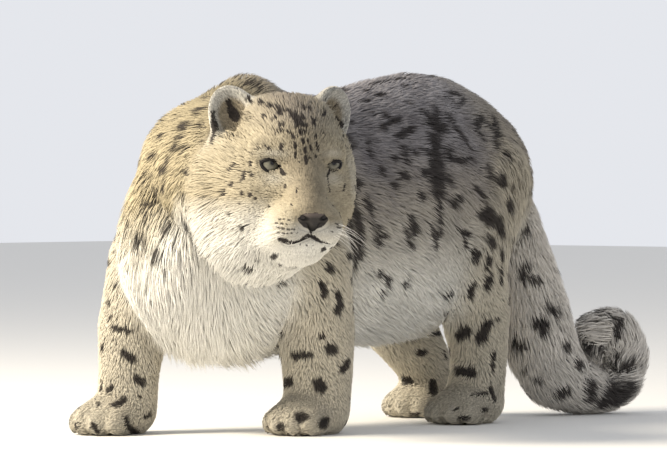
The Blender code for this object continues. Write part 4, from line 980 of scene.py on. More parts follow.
# %% Marks on the hidden sides
HIDDEN_KINDS = {  # spacing, half width of a stroke, length, whether it is a ring
    "body": (0.064, 0.0066, 0.022, True), "leg": (0.047, 0.0074, 0.022, False),
    "crown": (0.027, 0.0034, 0.009, False), "tail": (0.066, 0.0085, 0.026, False), "paw": (0.036, 0.0036, 0.012, False),
}
RING_STROKES = 5


def kind_of(part):
    if part in ("trunk", "neck"):
        return "body"
    if part == "head":
        return "crown"
    if part.endswith("paw"):
        return "paw"
    return "tail" if part == "tail" else "leg"


def hidden_from_view():
    """Which corners of the skin the camera doesn't see."""
    facing = ((skin_points - view_from) * skin_out).sum(axis=1) < -0.25
    hidden = ~facing
    for i in np.flatnonzero(facing)[::1]:
        way = Vector(coat_points[i] - view_from)
        hit, _, _, far = coat_tree.ray_cast(Vector(view_from), way.normalized())
        hidden[i] = hit is not None and far < way.length - 0.02
    return hidden


def strokes_hidden(draw, seen):
    hidden = np.flatnonzero(hidden_from_view())
    part = skin_shares.argmax(axis=0)
    taken = [row[:3] for row in seen] + [row[3:6] for row in seen]
    rows = []
    for i in draw.permutation(hidden)[:24000]:
        name = PARTS[part[i]]
        place = coat_points[i]
        if name.endswith("ear") or place[2] < 0.012:
            continue
        if name in ("trunk", "neck") and (place[2] < 0.21 or (place[1] < -0.30 and place[2] < 0.36)):
            continue
        spacing, half, length, ring = HIDDEN_KINDS[kind_of(name)]
        if np.min(np.linalg.norm(np.array(taken) - place, axis=1)) < spacing * 0.8:
            continue
        taken.append(place)
        out = skin_out[i]
        lie = lie_of(place[None], skin_shares[:, i:i + 1])[0]
        along = lie - out * (lie @ out)
        along = along / np.linalg.norm(along)
        across = np.cross(out, along)
        if not ring:
            way = across if kind_of(name) in ("leg", "tail") else along
            way = way * math.cos(0.5 * draw.normal()) + np.cross(out, way) * 0.35 * draw.normal()
            reach = way * length * draw.uniform(0.6, 1.1) / 2
            rows.append((*(place - reach), *(place + reach), half * draw.uniform(0.8, 1.2), 0.92, 0.32))
            continue
        radius = 0.019 * draw.uniform(0.8, 1.15)
        start = draw.uniform(0, 2 * math.pi)
        for k in range(RING_STROKES):
            if draw.random() < 0.22:
                continue
            ends = []
            for turn in (0.12, 0.70):
                angle = start + 2 * math.pi * (k + turn) / RING_STROKES
                ends.append(place + radius * (1.25 * math.cos(angle) * along + math.sin(angle) * across))
            rows.append((*ends[0], *ends[1], half * draw.uniform(0.7, 1.2), 0.82, 0.50))
    print("hidden strokes:", len(rows))
    return np.array(rows)


MARK_DEEP = 0.028                 # how far below or above a stroke the coat still takes its colour


def marked(points, out, strokes, deep):
    """How dark the marks make each place, from 0 to 1, as far as deep over or under a stroke."""
    order = np.argsort(points[:, 1])
    placed, upward, deep = points[order], out[order], deep[order]
    ragged = 0.30 * soft_noise(placed, 0.0065) + 0.20 * soft_noise(placed, 0.0028, 1)
    dark = np.zeros(len(points))
    for row in strokes:
        a, b, half, depth, soft = row[:3], row[3:6], row[6], row[7], row[8]
        reach = half * (1 + soft) * 1.5 + 0.020
        first, last = np.searchsorted(placed[:, 1], (min(a[1], b[1]) - reach, max(a[1], b[1]) + reach))
        if first == last:
            continue
        some = placed[first:last]
        way = b - a
        along = np.clip((some - a) @ way / max(way @ way, 1e-9), 0, 1)
        away = some - a - along[:, None] * way
        over = (away * upward[first:last]).sum(axis=1)
        over = over * (np.abs(over) < deep[first:last])
        away = away - over[:, None] * upward[first:last]
        far = np.linalg.norm(away, axis=1) / half
        far = far + ragged[first:last] * (0.45 + soft)
        value = np.clip((1 + soft - far) / (2 * soft), 0, 1)
        dark[first:last] = np.maximum(dark[first:last], depth * value * value * (3 - 2 * value))
    result = np.empty(len(points))
    result[order] = dark
    return result


# %% [markdown]
# ## Ground colours
# Under the marks the coat runs from a smoky grey on the back, through cream on the shoulder and legs,
# to near white on breast, belly and chin. The nose's bridge and the crown are buff, the ears black
# behind and pale in front.

# %% Ground colours
CREAM = np.array([0.455, 0.390, 0.258])
LEG_PALE = np.array([0.58, 0.52, 0.40])
SMOKE = np.array([0.262, 0.247, 0.250])
WHITE = np.array([0.89, 0.865, 0.79])
BUFF = np.array([0.27, 0.23, 0.165])
GREY = np.array([0.155, 0.142, 0.146])
DARK = np.array([0.026, 0.021, 0.020])
TAIL_PALE = np.array([0.74, 0.69, 0.62])
FACE_CREAM = np.array([0.400, 0.350, 0.252])


def blend(colour, other, share):
    return colour + (other - colour) * np.clip(share, 0, 1)[:, None]


def ground_colour(points, shares):
    local = to_head(points)
    steep = np.interp(points[:, 1], [-0.15, 0.05], [0.18, 0.25])
    height = np.clip((points[:, 2] - 0.24) / steep, 0, 1)
    behind = np.clip((points[:, 1] + 0.24) / 0.22, 0, 1) * np.clip((0.46 - points[:, 1]) / 0.20, 0.55, 1)
    colour = blend(np.tile(WHITE, (len(points), 1)), CREAM, height * 1.3)
    colour = colour * (1 - 0.26 * np.clip((points[:, 2] - 0.46) / 0.08, 0, 1))[:, None]
    ridge = 1 + 0.45 * np.clip((points[:, 2] - 0.53) / 0.06, 0, 1)
    colour = blend(colour, SMOKE * ridge[:, None], behind * height)
    bib = 0.295 + 0.110 * np.clip(points[:, 0] / 0.08, 0, 1)
    front = np.clip((-0.26 - points[:, 1]) / 0.08, 0, 1) * np.clip((bib - points[:, 2]) / 0.06, 0, 1)
    colour = blend(colour, WHITE, front)
    legs = shares[2:6].sum(axis=0) + shares[10:].sum(axis=0)
    colour = blend(colour, LEG_PALE, legs * 0.85)
    colour = blend(colour, TAIL_PALE, shares[PARTS.index("tail")] * 0.9)
    mottle = soft_noise(points, 0.022, 2) * 0.5 + soft_noise(points, 0.009, 3) * 0.5
    colour = blend(colour, GREY, (0.20 + 1.00 * mottle) * behind * height * (2 - ridge))
    head = shares[PARTS.index("head")]
    face = blend(np.tile(FACE_CREAM, (len(points), 1)), BUFF, (1 - np.abs(local[:, 1]) / 0.060) * 0.85)
    crown = np.clip((local[:, 2] - 0.045) / 0.04, 0, 1) * np.clip(1.1 - np.abs(local[:, 1]) / 0.09, 0, 1)
    face = blend(face, GREY, crown * 0.50)
    face = face * (1 + 0.15 * soft_noise(points, 0.0060, 1) + 0.12 * soft_noise(points, 0.0025, 2))[:, None]
    rim = np.clip((local[:, 1] - 0.088) / 0.007, 0, 1) * np.clip((0.045 - np.abs(local[:, 2] + 0.02)) / 0.02, 0, 1)
    face = blend(face, WHITE, 0.15 * rim)
    muzzle = np.clip(1 - np.abs(local[:, 2] + 0.108) / 0.02, 0, 1) * np.clip((local[:, 0] - 0.005) / 0.03, 0, 1)
    face = blend(face, WHITE * 0.66, muzzle)
    face = blend(face, WHITE * 0.90, (-0.108 - local[:, 2]) / 0.022)
    jowl = np.clip((-0.050 - local[:, 2]) / 0.04, 0, 1) * np.clip((-0.030 - local[:, 1]) / 0.03, 0, 1)
    face = blend(face, WHITE * 0.86, 0.80 * jowl)
    # Painted light: a warmer cream patch on the sunlit side of the muzzle only.
    lit = np.exp(-((local[:, 2] + 0.085) / 0.035) ** 2 - ((local[:, 1] + 0.050) / 0.016) ** 2)
    face = blend(face, CREAM * 1.15, 0.6 * lit)
    for side in (1, -1):
        ahead, across, rise = eye_space(local, side)
        below = np.exp(-((rise + 0.021) / 0.010) ** 2 - ((across) / 0.018) ** 2)
        above = np.exp(-((rise - 0.020) / 0.007) ** 2 - ((across) / 0.020) ** 2)
        face = blend(face, WHITE * 0.75, 0.34 * below + 0.32 * above)
    colour = blend(colour, face, head)
    for name, side in (("left_ear", 1), ("right_ear", -1)):
        ear = ear_space(local, side)
        rim = np.sqrt((ear[:, 1] / EAR_HALF[1]) ** 2 + (ear[:, 2] / EAR_HALF[2]) ** 2)
        inner = blend(np.tile(WHITE * 0.66, (len(points), 1)), BUFF * 1.1, (0.72 - rim) / 0.16)
        behind_ear = np.clip(-ear[:, 0] / 0.006 - 0.2, 0, 1)
        middle = np.exp(-(ear[:, 1] / 0.016) ** 2 - ((ear[:, 2] - 0.006) / 0.020) ** 2)
        ear_colour = blend(inner, DARK, behind_ear * (1 - 0.8 * middle))
        colour = blend(colour, ear_colour, shares[PARTS.index(name)])
    return colour * (1 + 0.10 * soft_noise(points, 0.030, 3))[:, None]


# %% [markdown]
# ## Where the hair grows
# Roots are scattered over the skin, closer together where the hair is finer. Each root gets the way
# its hair lies: back along the body, down the legs, and away from the nose on the face. The eyes, the
# nose and the line of the mouth stay bare.

# %% How close the roots stand
PER_AREA = {
    "trunk": 96e3, "neck": 104e3, "right_foreleg": 130e3, "left_foreleg": 130e3, "left_hindleg": 112e3,
    "right_hindleg": 112e3, "tail": 104e3, "head": 300e3, "left_ear": 420e3, "right_ear": 420e3,
    "right_forepaw": 200e3, "left_forepaw": 200e3, "left_hindpaw": 180e3, "right_hindpaw": 180e3,
}
FACE_PER_AREA = 720e3


def coarseness(local):
    """0 on the face, rising to 1 where the head's hair meets the neck's."""
    return np.clip((np.linalg.norm(local - NOSE_TIP, axis=1) - 0.105) / 0.075, 0, 1)


def root_density(points, shares):
    density = sum(share * PER_AREA[name] for name, share in zip(PARTS, shares))
    local = to_head(points)
    nearness = np.clip(1 - (np.linalg.norm(local - NOSE_TIP, axis=1) - 0.05) / 0.09, 0, 1)
    head = shares[PARTS.index("head")]
    density = density + nearness * (FACE_PER_AREA - density) * head
    density = density - coarseness(local) * 0.5 * PER_AREA["head"] * head
    return density * 1


def is_bare(points):
    local = to_head(points)
    bare = round_distance(local, (0.046, 0.0, -0.0905), (0.022, 0.029, 0.0155)) < 0
    for side in (1, -1):
        ahead, across, rise = eye_space(local, side)
        near = (ahead > -0.004) & (np.abs(across) < 0.03)
        bare |= near & (almond(across, rise, side) < 1.16)
    bare |= line_distance(local, MOUTH_PATH) < 0.0016
    return bare | (points[:, 2] < 0.0045)


def scatter_roots(draw):
    a, b, c = (skin_points[skin_faces[:, i]] for i in range(3))
    area = np.linalg.norm(np.cross(b - a, c - a), axis=1) / 2
    shares = skin_shares[:, skin_faces].mean(axis=2)
    wanted = area * root_density((a + b + c) / 3, shares)
    count = np.floor(wanted + draw.random(len(wanted))).astype(int)
    chosen = np.repeat(np.arange(len(wanted)), count)
    one, two = np.sqrt(draw.random(len(chosen))), draw.random(len(chosen))
    weights = np.stack([1 - one, one * (1 - two), one * two], axis=1)
    roots = (skin_points[skin_faces[chosen]] * weights[:, :, None]).sum(axis=1)
    return roots[~is_bare(roots)]


# %% The lie of the hair
def limb_way(points, line):
    """The way along a limb at the nearest place of its line."""
    best = np.full(len(points), 9.0)
    way = np.zeros_like(points)
    for a, b in zip(line, line[1:]):
        start, along = np.array(a[:3]), np.array(b[:3]) - np.array(a[:3])
        part = np.clip((points - start) @ along / (along @ along), 0, 1)
        far = np.linalg.norm(points - start - part[:, None] * along, axis=1)
        nearer = far < best
        best = np.where(nearer, far, best)
        way[nearer] = along / np.linalg.norm(along)
    return way


def head_way(local):
    """Back from the nose over the head, and down the cheeks."""
    way = local - NOSE_TIP
    way = way / np.maximum(np.linalg.norm(way, axis=1), 1e-6)[:, None]
    low = np.clip((-local[:, 2] - 0.03) / 0.06, 0, 1) * np.clip(-local[:, 0] / 0.06, 0, 1)
    chin = np.clip((-local[:, 2] - 0.120) / 0.015, 0, 1)
    way[:, 2] -= 0.9 * low + 1.2 * chin
    way[:, 0] -= 0.35
    return way @ HEAD_AXES


def ear_way(local, side):
    """Up the ear and out to its rim."""
    ear = ear_space(local, side)
    way = np.stack([0 * ear[:, 0], ear[:, 1] / EAR_HALF[1] * 0.8, np.full(len(ear), 0.8)], axis=1)
    return way @ np.array(ear_frame(side))[:3, :3].T @ HEAD_AXES


def lie_of(points, shares):
    total = np.zeros_like(points)
    height = np.clip((points[:, 2] - 0.14) / 0.40, 0, 1)
    front = np.clip((-0.26 - points[:, 1]) / 0.10, 0, 1) * np.clip((0.56 - points[:, 2]) / 0.12, 0, 1)
    none = 0 * height
    local = to_head(points)
    for name, share in zip(PARTS, shares):
        if name == "trunk":
            way = np.stack([none, 0.9 - 0.75 * front, -0.25 - 0.55 * (1 - height) - 0.8 * front], axis=1)
        elif name == "neck":
            way = -limb_way(points, LIMBS[name]) + np.stack([none, none, -0.9 * front - 0.4], axis=1)
        elif name in LIMBS:
            way = limb_way(points, LIMBS[name])
            if name != "tail":
                way = way + np.array([0, 0.25, 0])
        elif name == "head":
            way = head_way(local)
        elif name.endswith("ear"):
            way = ear_way(local, 1 if name == "left_ear" else -1)
        else:
            way = np.tile([0.0, -1.0, -0.25], (len(points), 1))
        total = total + share[:, None] * way
    return total


# %% [markdown]
# ## Tufts
# A tuft is a thin, closed, three-sided blade that is pointed at both ends and bends as it lies. Long
# hair gets one bend more. All tufts of a piece are written into one mesh at once, with arrays, because
# there are far too many to place one by one. Their corners carry the coat's colour, and how far along
# the hair they are.

# %% Shape of the tufts
TUFT_THICK = 0.40
ROOT_SINK = 0.0015
WIDTHS = {
    "trunk": 0.0021, "neck": 0.0021, "right_foreleg": 0.0017, "left_foreleg": 0.0017, "left_hindleg": 0.0018,
    "right_hindleg": 0.0018, "tail": 0.0024, "head": 0.00115, "left_ear": 0.0010, "right_ear": 0.0010,
    "right_forepaw": 0.0013, "left_forepaw": 0.0013, "left_hindpaw": 0.0013, "right_hindpaw": 0.0013,
}
RUFF_WIDER = 0.0008
CLUMPING = {"trunk": 0.24, "neck": 0.24, "tail": 0.28, "head": 0.06}
OTHER_CLUMPING = 0.08
LEADERS = 0.035                   # the share of tufts that draw their neighbours' tips
LONG_HAIR = 0.058                 # from here on a tuft bends twice
STIFF = 0.25


def unit(rows):
    return rows / np.maximum(np.linalg.norm(rows, axis=1), 1e-9)[:, None]


def mixed(table, shares, other=0.0):
    return sum(share * table.get(name, other) for name, share in zip(PARTS, shares))


def gathered(roots, tip, clump, draw):
    """Draw the tips of neighbours towards one another, as hair hangs in small locks."""
    leaders = np.flatnonzero(draw.random(len(roots)) < LEADERS)
    tree = KDTree(len(leaders))
    for i, index in enumerate(leaders):
        tree.insert(roots[index], i)
    tree.balance()
    nearest = leaders[[tree.find(root)[1] for root in roots]]
    return tip + (tip[nearest] - tip) * (clump * draw.uniform(0.4, 1.0, len(roots)))[:, None]


def hang(points, shares):
    """How freely the hair leaves the body: most at the cheeks' lower edge, the breast and the belly."""
    local = to_head(points)
    head = shares[PARTS.index("head")]
    cheek = np.clip((-local[:, 2] - 0.040) / 0.045, 0, 1) * np.clip((0.010 - local[:, 0]) / 0.04, 0, 1) * head
    trunk = (shares[PARTS.index("trunk")] + shares[PARTS.index("neck")]) * np.clip((0.30 - points[:, 2]) / 0.10, 0, 1)
    return np.maximum(STIFF, np.maximum(cheek, trunk)) * (1 - shares[8] - shares[9])


def grow(draw):
    """Roots, bends, tips and widths of all the tufts."""
    roots = scatter_roots(draw)
    count = len(roots)
    shares = near_parts(part_distances(roots))
    _, out = brought_to(read_skin, roots, 0.0)
    full = hair_length(roots, shares)
    ears = shares[8] + shares[9]
    length = (full + 0.006 * ears) * draw.uniform(0.75, 1.15, count)
    way = lie_of(roots, shares)
    way = unit(way - out * (way * out).sum(axis=1)[:, None])
    side = np.cross(out, way)
    swing = 0.26 * soft_noise(roots, 0.050) + 0.14 * soft_noise(roots, 0.016, 1)
    swing = swing + draw.normal(0, 0.09, count) * (1 + 2.5 * ears)
    way = unit(way * np.cos(swing)[:, None] + side * np.sin(swing)[:, None])
    loose = hang(roots, shares)
    lift = COAT_SHARE * full * draw.uniform(0.72, 1.06, count) * (1 + loose * draw.uniform(-0.15, 0.30, count))
    stages = []
    for share, height in ((0.30, 0.45), (0.60, 0.80), (0.97, 1.0)):
        flat = roots + way * (length * share)[:, None]
        place, _ = brought_to(read_exactly, flat, lift * height, 2)
        free = flat + out * (lift * height)[:, None]
        off = loose * share * (read_skin(free)[0] > lift * height)
        stages.append(place + (free - place) * off[:, None])
    first, second, tip = stages
    tip = gathered(roots, tip, mixed(CLUMPING, shares, OTHER_CLUMPING), draw)
    for place in (first, second, tip):
        place[:, 2] = np.maximum(place[:, 2], FLOOR_GAP)
    width = mixed(WIDTHS, shares) + RUFF_WIDER * coarseness(to_head(roots)) * shares[PARTS.index("head")]
    width = width * draw.uniform(0.8, 1.2, count)
    long = length > LONG_HAIR
    print("tufts:", count, "long:", int(long.sum()))
    return {
        "root": roots - out * ROOT_SINK, "first": first, "second": second, "tip": tip, "out": out,
        "width": width, "long": long, "shares": shares,
    }


# %% Groups of tufts, each its own piece
def group_of(tufts):
    """Which piece each tuft belongs to."""
    points, part = tufts["root"], tufts["shares"].argmax(axis=0)
    names = np.array(PARTS)[part].astype("<U24")
    local = to_head(points)
    left = points[:, 0] > 0
    back = points[:, 1] > 0.03
    names[(names == "trunk") & left & ~back] = "left_shoulder"
    names[(names == "trunk") & left & back] = "left_flank"
    names[(names == "trunk") & ~left & ~back] = "right_shoulder"
    names[(names == "trunk") & ~left & back] = "right_flank"
    names[(names == "head") & (local[:, 0] > -0.055) & (local[:, 1] > 0)] = "face_left"
    names[(names == "head") & (local[:, 0] > -0.055) & (local[:, 1] <= 0)] = "face_right"
    for name in ("left_ear", "right_ear"):
        names[names == name] = "ears"
    for name in PAWS:
        names[names == name] = "paws"
    return names


def round_line(points, line):
    """The turn round a line and the place along it."""
    best, along = np.full(len(points), 9.0), np.zeros(len(points))
    middle = np.zeros_like(points)
    for i, (a, b) in enumerate(zip(line, line[1:])):
        start, step = np.array(a[:3]), np.array(b[:3]) - np.array(a[:3])
        part = np.clip((points - start) @ step / (step @ step), 0, 1)
        near = start + part[:, None] * step
        far = np.linalg.norm(points - near, axis=1)
        better = far < best
        best = np.where(better, far, best)
        along = np.where(better, i + part, along)
        middle[better] = near[better]
    way = limb_way(points, line)
    first = unit(np.cross(way, [0.3, 0.2, 1.0]))
    second = np.cross(way, first)
    away = points - middle
    return np.arctan2((away * second).sum(axis=1), (away * first).sum(axis=1)), along


def unwrapped(points, name):
    """Each root's place on a roll-out of its own part, round it and along it."""
    if name in LIMBS:
        place = np.stack(round_line(points, LIMBS[name]), axis=1)
    elif name.startswith("face") or name in ("head", "ears"):
        local = to_head(points) + np.array([0.08, 0, 0.02])
        turn = np.arctan2(local[:, 1], local[:, 0] + 0.02)
        place = np.stack([turn, np.arctan2(local[:, 2], np.hypot(local[:, 0], local[:, 1]))], axis=1)
    elif name == "paws":
        place = points[:, :2] + points[:, 2:] * np.array([0.4, 0.3])
    else:
        place = np.stack([np.arctan2(points[:, 0], points[:, 2] - 0.36), points[:, 1]], axis=1)
    low, high = place.min(axis=0), place.max(axis=0)
    return 0.01 + 0.98 * (place - low) / np.maximum(high - low, 1e-6)


# %% Meshes of the tufts
PATCH = 0.003
CALM = 0.55                       # how far a tuft is lit as the skin below it, not as its own sides
SHORT_TUFT = {
    "rings": ["second"], "shares": [1.0], "along": [0.6],
    "patch": [(0.5, 0), (0, 0.6), (0.5, 0.6), (1, 0.6), (0.5, 1)],
    "faces": [(0, 2, 1), (0, 3, 2), (0, 1, 3), (1, 2, 4), (2, 3, 4), (3, 1, 4)],
}
LONG_TUFT = {
    "rings": ["first", "second"], "shares": [0.85, 1.0], "along": [0.3, 0.65],
    "patch": [(0.5, 0), (0, 0.3), (0.5, 0.3), (1, 0.3), (0, 0.65), (0.5, 0.65), (1, 0.65), (0.5, 1)],
    "faces": [(0, 2, 1), (0, 3, 2), (0, 1, 3), (1, 2, 5), (1, 5, 4), (2, 3, 6), (2, 6, 5), (3, 1, 4), (3, 4, 6),
              (4, 5, 7), (5, 6, 7), (6, 4, 7)],
}


def tuft_rows(tufts, chosen, kind):
    """Corners of the chosen tufts, of one kind, as rows."""
    root, tip, out, width = (tufts[key][chosen] for key in ("root", "tip", "out", "width"))
    side = unit(np.cross(unit(tip - root), out))
    rows = [root]
    before = root
    for ring, share in zip(kind["rings"], kind["shares"]):
        centre = tufts[ring][chosen]
        up = unit(np.cross(side, unit(tip - before)))
        half = side * (width * share / 2)[:, None]
        rows += [centre - half, centre + up * (width * share * TUFT_THICK)[:, None], centre + half]
        before = centre
    return np.stack(rows + [tip], axis=1)


def tuft_mesh(name, tufts, chosen, colour):
    points, faces, coats, alongs, places, ways = [], [], [], [], [], []
    first = 0
    for kind, is_long in ((SHORT_TUFT, False), (LONG_TUFT, True)):
        some = chosen[tufts["long"][chosen] == is_long]
        if not len(some):
            continue
        rows = tuft_rows(tufts, some, kind)
        count, size = rows.shape[:2]
        pattern = np.array(kind["faces"])
        faces.append((first + np.arange(count)[:, None, None] * size + pattern).reshape(-1, 3))
        points.append(rows.reshape(-1, 3))
        coats.append(np.repeat(colour[some], size, axis=0))
        ways.append(np.repeat(tufts["out"][some], size, axis=0))
        alongs.append(np.tile([0.0] + [at for at in kind["along"] for _ in range(3)] + [1.0], count))
        patch = (np.array(kind["patch"]) - 0.5) * PATCH
        places.append((unwrapped_places[some][:, None] + patch).reshape(-1, 2))
        first += count * size
    points, faces, coats, alongs, places = (np.concatenate(rows) for rows in (points, faces, coats, alongs, places))
    mesh = bpy.data.meshes.new(name)
    mesh.vertices.add(len(points))
    mesh.loops.add(len(faces) * 3)
    mesh.polygons.add(len(faces))
    mesh.vertices.foreach_set("co", (points + SHIFT).ravel())
    mesh.loops.foreach_set("vertex_index", faces.ravel().astype(np.int32))
    mesh.polygons.foreach_set("loop_start", np.arange(0, len(faces) * 3, 3, dtype=np.int32))
    mesh.polygons.foreach_set("loop_total", np.full(len(faces), 3, dtype=np.int32))
    mesh.update(calc_edges=True)
    mesh.shade_smooth()
    own = np.empty(len(points) * 3)
    mesh.vertex_normals.foreach_get("vector", own)
    soft = unit(own.reshape(-1, 3) * (1 - CALM) + np.concatenate(ways) * CALM)
    mesh.normals_split_custom_set_from_vertices(soft.tolist())
    paint_corners(mesh, coats)
    mesh.attributes.new("along", "FLOAT", "POINT").data.foreach_set("value", alongs)
    mesh.uv_layers.new(name="OFBake").data.foreach_set("uv", places[faces.ravel()].ravel())
    return mesh


def paint_corners(mesh, colour):
    rows = np.ones((len(colour), 4))
    rows[:, :3] = colour
    mesh.attributes.new("coat", "FLOAT_COLOR", "POINT").data.foreach_set("color", rows.ravel())


# %% [markdown]
# ## Materials of skin and coat
# Skin and coat read the colour that their corners carry. The coat is painted darker towards the root,
# as painted shade deep in the coat, and the skin has the same colour, painted darker as shade
# under the hair, with a short stubble as bump.

# %% Coat material
# Painted shade: each tuft's colour is darkened towards its root, where the coat shades itself.
ROOT_PAINTED_SHADE = 0.74


def attribute(nodes, name):
    node = nodes.new("ShaderNodeAttribute")
    node.attribute_name = name
    return node


def coat_material():
    made = bpy.data.materials.new("coat")
    made.use_nodes = True
    nodes, links = made.node_tree.nodes, made.node_tree.links
    shader = nodes["Principled BSDF"]
    shader.inputs["Roughness"].default_value = 0.72
    shader.inputs["Specular IOR Level"].default_value = 0.22
    shade = nodes.new("ShaderNodeMapRange")
    shade.inputs["From Max"].default_value = 0.75
    shade.inputs["To Min"].default_value = ROOT_PAINTED_SHADE
    links.new(attribute(nodes, "along").outputs["Fac"], shade.inputs["Value"])
    mix = nodes.new("ShaderNodeMix")
    mix.data_type = "RGBA"
    mix.blend_type = "MULTIPLY"
    mix.inputs["Factor"].default_value = 1.0
    links.new(attribute(nodes, "coat").outputs["Color"], mix.inputs["A"])
    links.new(shade.outputs["Result"], mix.inputs["B"])
    links.new(mix.outputs["Result"], shader.inputs["Base Color"])
    return made


def skin_material():
    made = bpy.data.materials.new("skin")
    made.use_nodes = True
    nodes, links = made.node_tree.nodes, made.node_tree.links
    shader = nodes["Principled BSDF"]
    shader.inputs["Roughness"].default_value = 0.85
    links.new(attribute(nodes, "coat").outputs["Color"], shader.inputs["Base Color"])
    grain = nodes.new("ShaderNodeTexNoise")
    grain.inputs["Scale"].default_value = 700
    bump = nodes.new("ShaderNodeBump")
    bump.inputs["Strength"].default_value = 0.3
    bump.inputs["Distance"].default_value = 0.001
    links.new(grain.outputs["Fac"], bump.inputs["Height"])
    links.new(bump.outputs["Normal"], shader.inputs["Normal"])
    return made


# %% Paint the skin
# Painted shade: the skin under the coat is painted darker than the coat, as the hair shades it.
SKIN_PAINTED_SHADE = 0.72
FLESH = [
    "head", "left_ear", "right_ear", "neck", "chest", "ribs", "hips", "left_foreleg", "right_foreleg",
    "left_forepaw", "right_forepaw", "left_hindleg", "right_hindleg", "left_hindpaw", "right_hindpaw",
    "tail_root", "tail_middle", "tail_bend", "tail_end", "tail_tip",
]


def coloured(points, out, shares, strokes):
    deep = MARK_DEEP * (1 - 0.75 * (shares[PARTS.index("left_ear")] + shares[PARTS.index("right_ear")]))
    return blend(ground_colour(points, shares), DARK, marked(points, out, strokes, deep))


seen = strokes_seen()
strokes = np.concatenate([seen, strokes_hidden(np.random.default_rng(23), seen)])
skin_colour = coloured(coat_points, skin_out, skin_shares, strokes)
in_opening = np.zeros(len(skin_points), dtype=bool)
for side in (1, -1):
    ahead, across, rise = eye_space(to_head(skin_points), side)
    in_opening |= (ahead > 0) & (almond(across, rise, side) < 1.12) & (np.abs(across) < 0.03)
in_opening |= round_distance(to_head(skin_points), (0.044, 0.0, -0.088), (0.022, 0.026, 0.016)) < 0
skin_colour[in_opening] = DARK
bare_face = (skin_shares[PARTS.index("head")] > 0.5) & (to_head(skin_points)[:, 0] > -0.03)
# Painted shade on the skin: darker under the hair, a little less on the face.
paint_corners(skin.data, skin_colour * np.where(bare_face, 0.85, SKIN_PAINTED_SHADE)[:, None])
skin.data.materials.append(skin_material())
skin.data.vertices.foreach_set("co", (skin_points + SHIFT).ravel())
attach(skin, "root")
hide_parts(*FLESH)

# %% Grow the coat
draw = np.random.default_rng(11)
tufts = grow(draw)
shown = 0.25 * tufts["second"] + 0.75 * tufts["tip"]
tuft_colour = coloured(shown, tufts["out"], tufts["shares"], strokes)
uneven = 0.14 + 0.16 * (tufts["shares"][PARTS.index("left_ear")] + tufts["shares"][PARTS.index("right_ear")])
tuft_colour = tuft_colour * (0.98 + draw.uniform(-1, 1, len(shown)) * uneven)[:, None]
groups = group_of(tufts)
unwrapped_places = np.zeros((len(groups), 2))
coat_paint = coat_material()
for name in sorted(set(groups)):
    chosen = np.flatnonzero(groups == name)
    unwrapped_places[chosen] = unwrapped(tufts["root"][chosen], name)
    piece = linked("coat_" + name, tuft_mesh(name, tufts, chosen, tuft_colour))
    piece.data.materials.append(coat_paint)
    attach(piece, "root")
    print("coat_" + name, len(piece.data.polygons))

# %% [markdown]
# ## Eyes
# Each eye is a smooth ball. Its own frame looks along its gaze, so the pale grey-green iris, its dark
# border and the small round pupil are rings round that line. Its top is painted darker, as painted
# shadow of the upper lid. A clear wet film gives the highlight.

# %% Eyes
GAZE = 3.0                        # degrees that both eyes look to the left of straight ahead
GAZE_UP = 0.20                    # how far they look up, so that the upper lid covers the iris
PUPIL, IRIS = 0.0034, 0.0134
IRIS_PALE = (0.160, 0.150, 0.112, 1)
IRIS_DEEP = (0.055, 0.052, 0.036, 1)


def ramp(nodes, stops):
    node = nodes.new("ShaderNodeValToRGB")
    band = node.color_ramp
    while len(band.elements) < len(stops):
        band.elements.new(0.5)
    for element, (place, colour) in zip(band.elements, stops):
        element.position = place
        element.color = colour
    return node


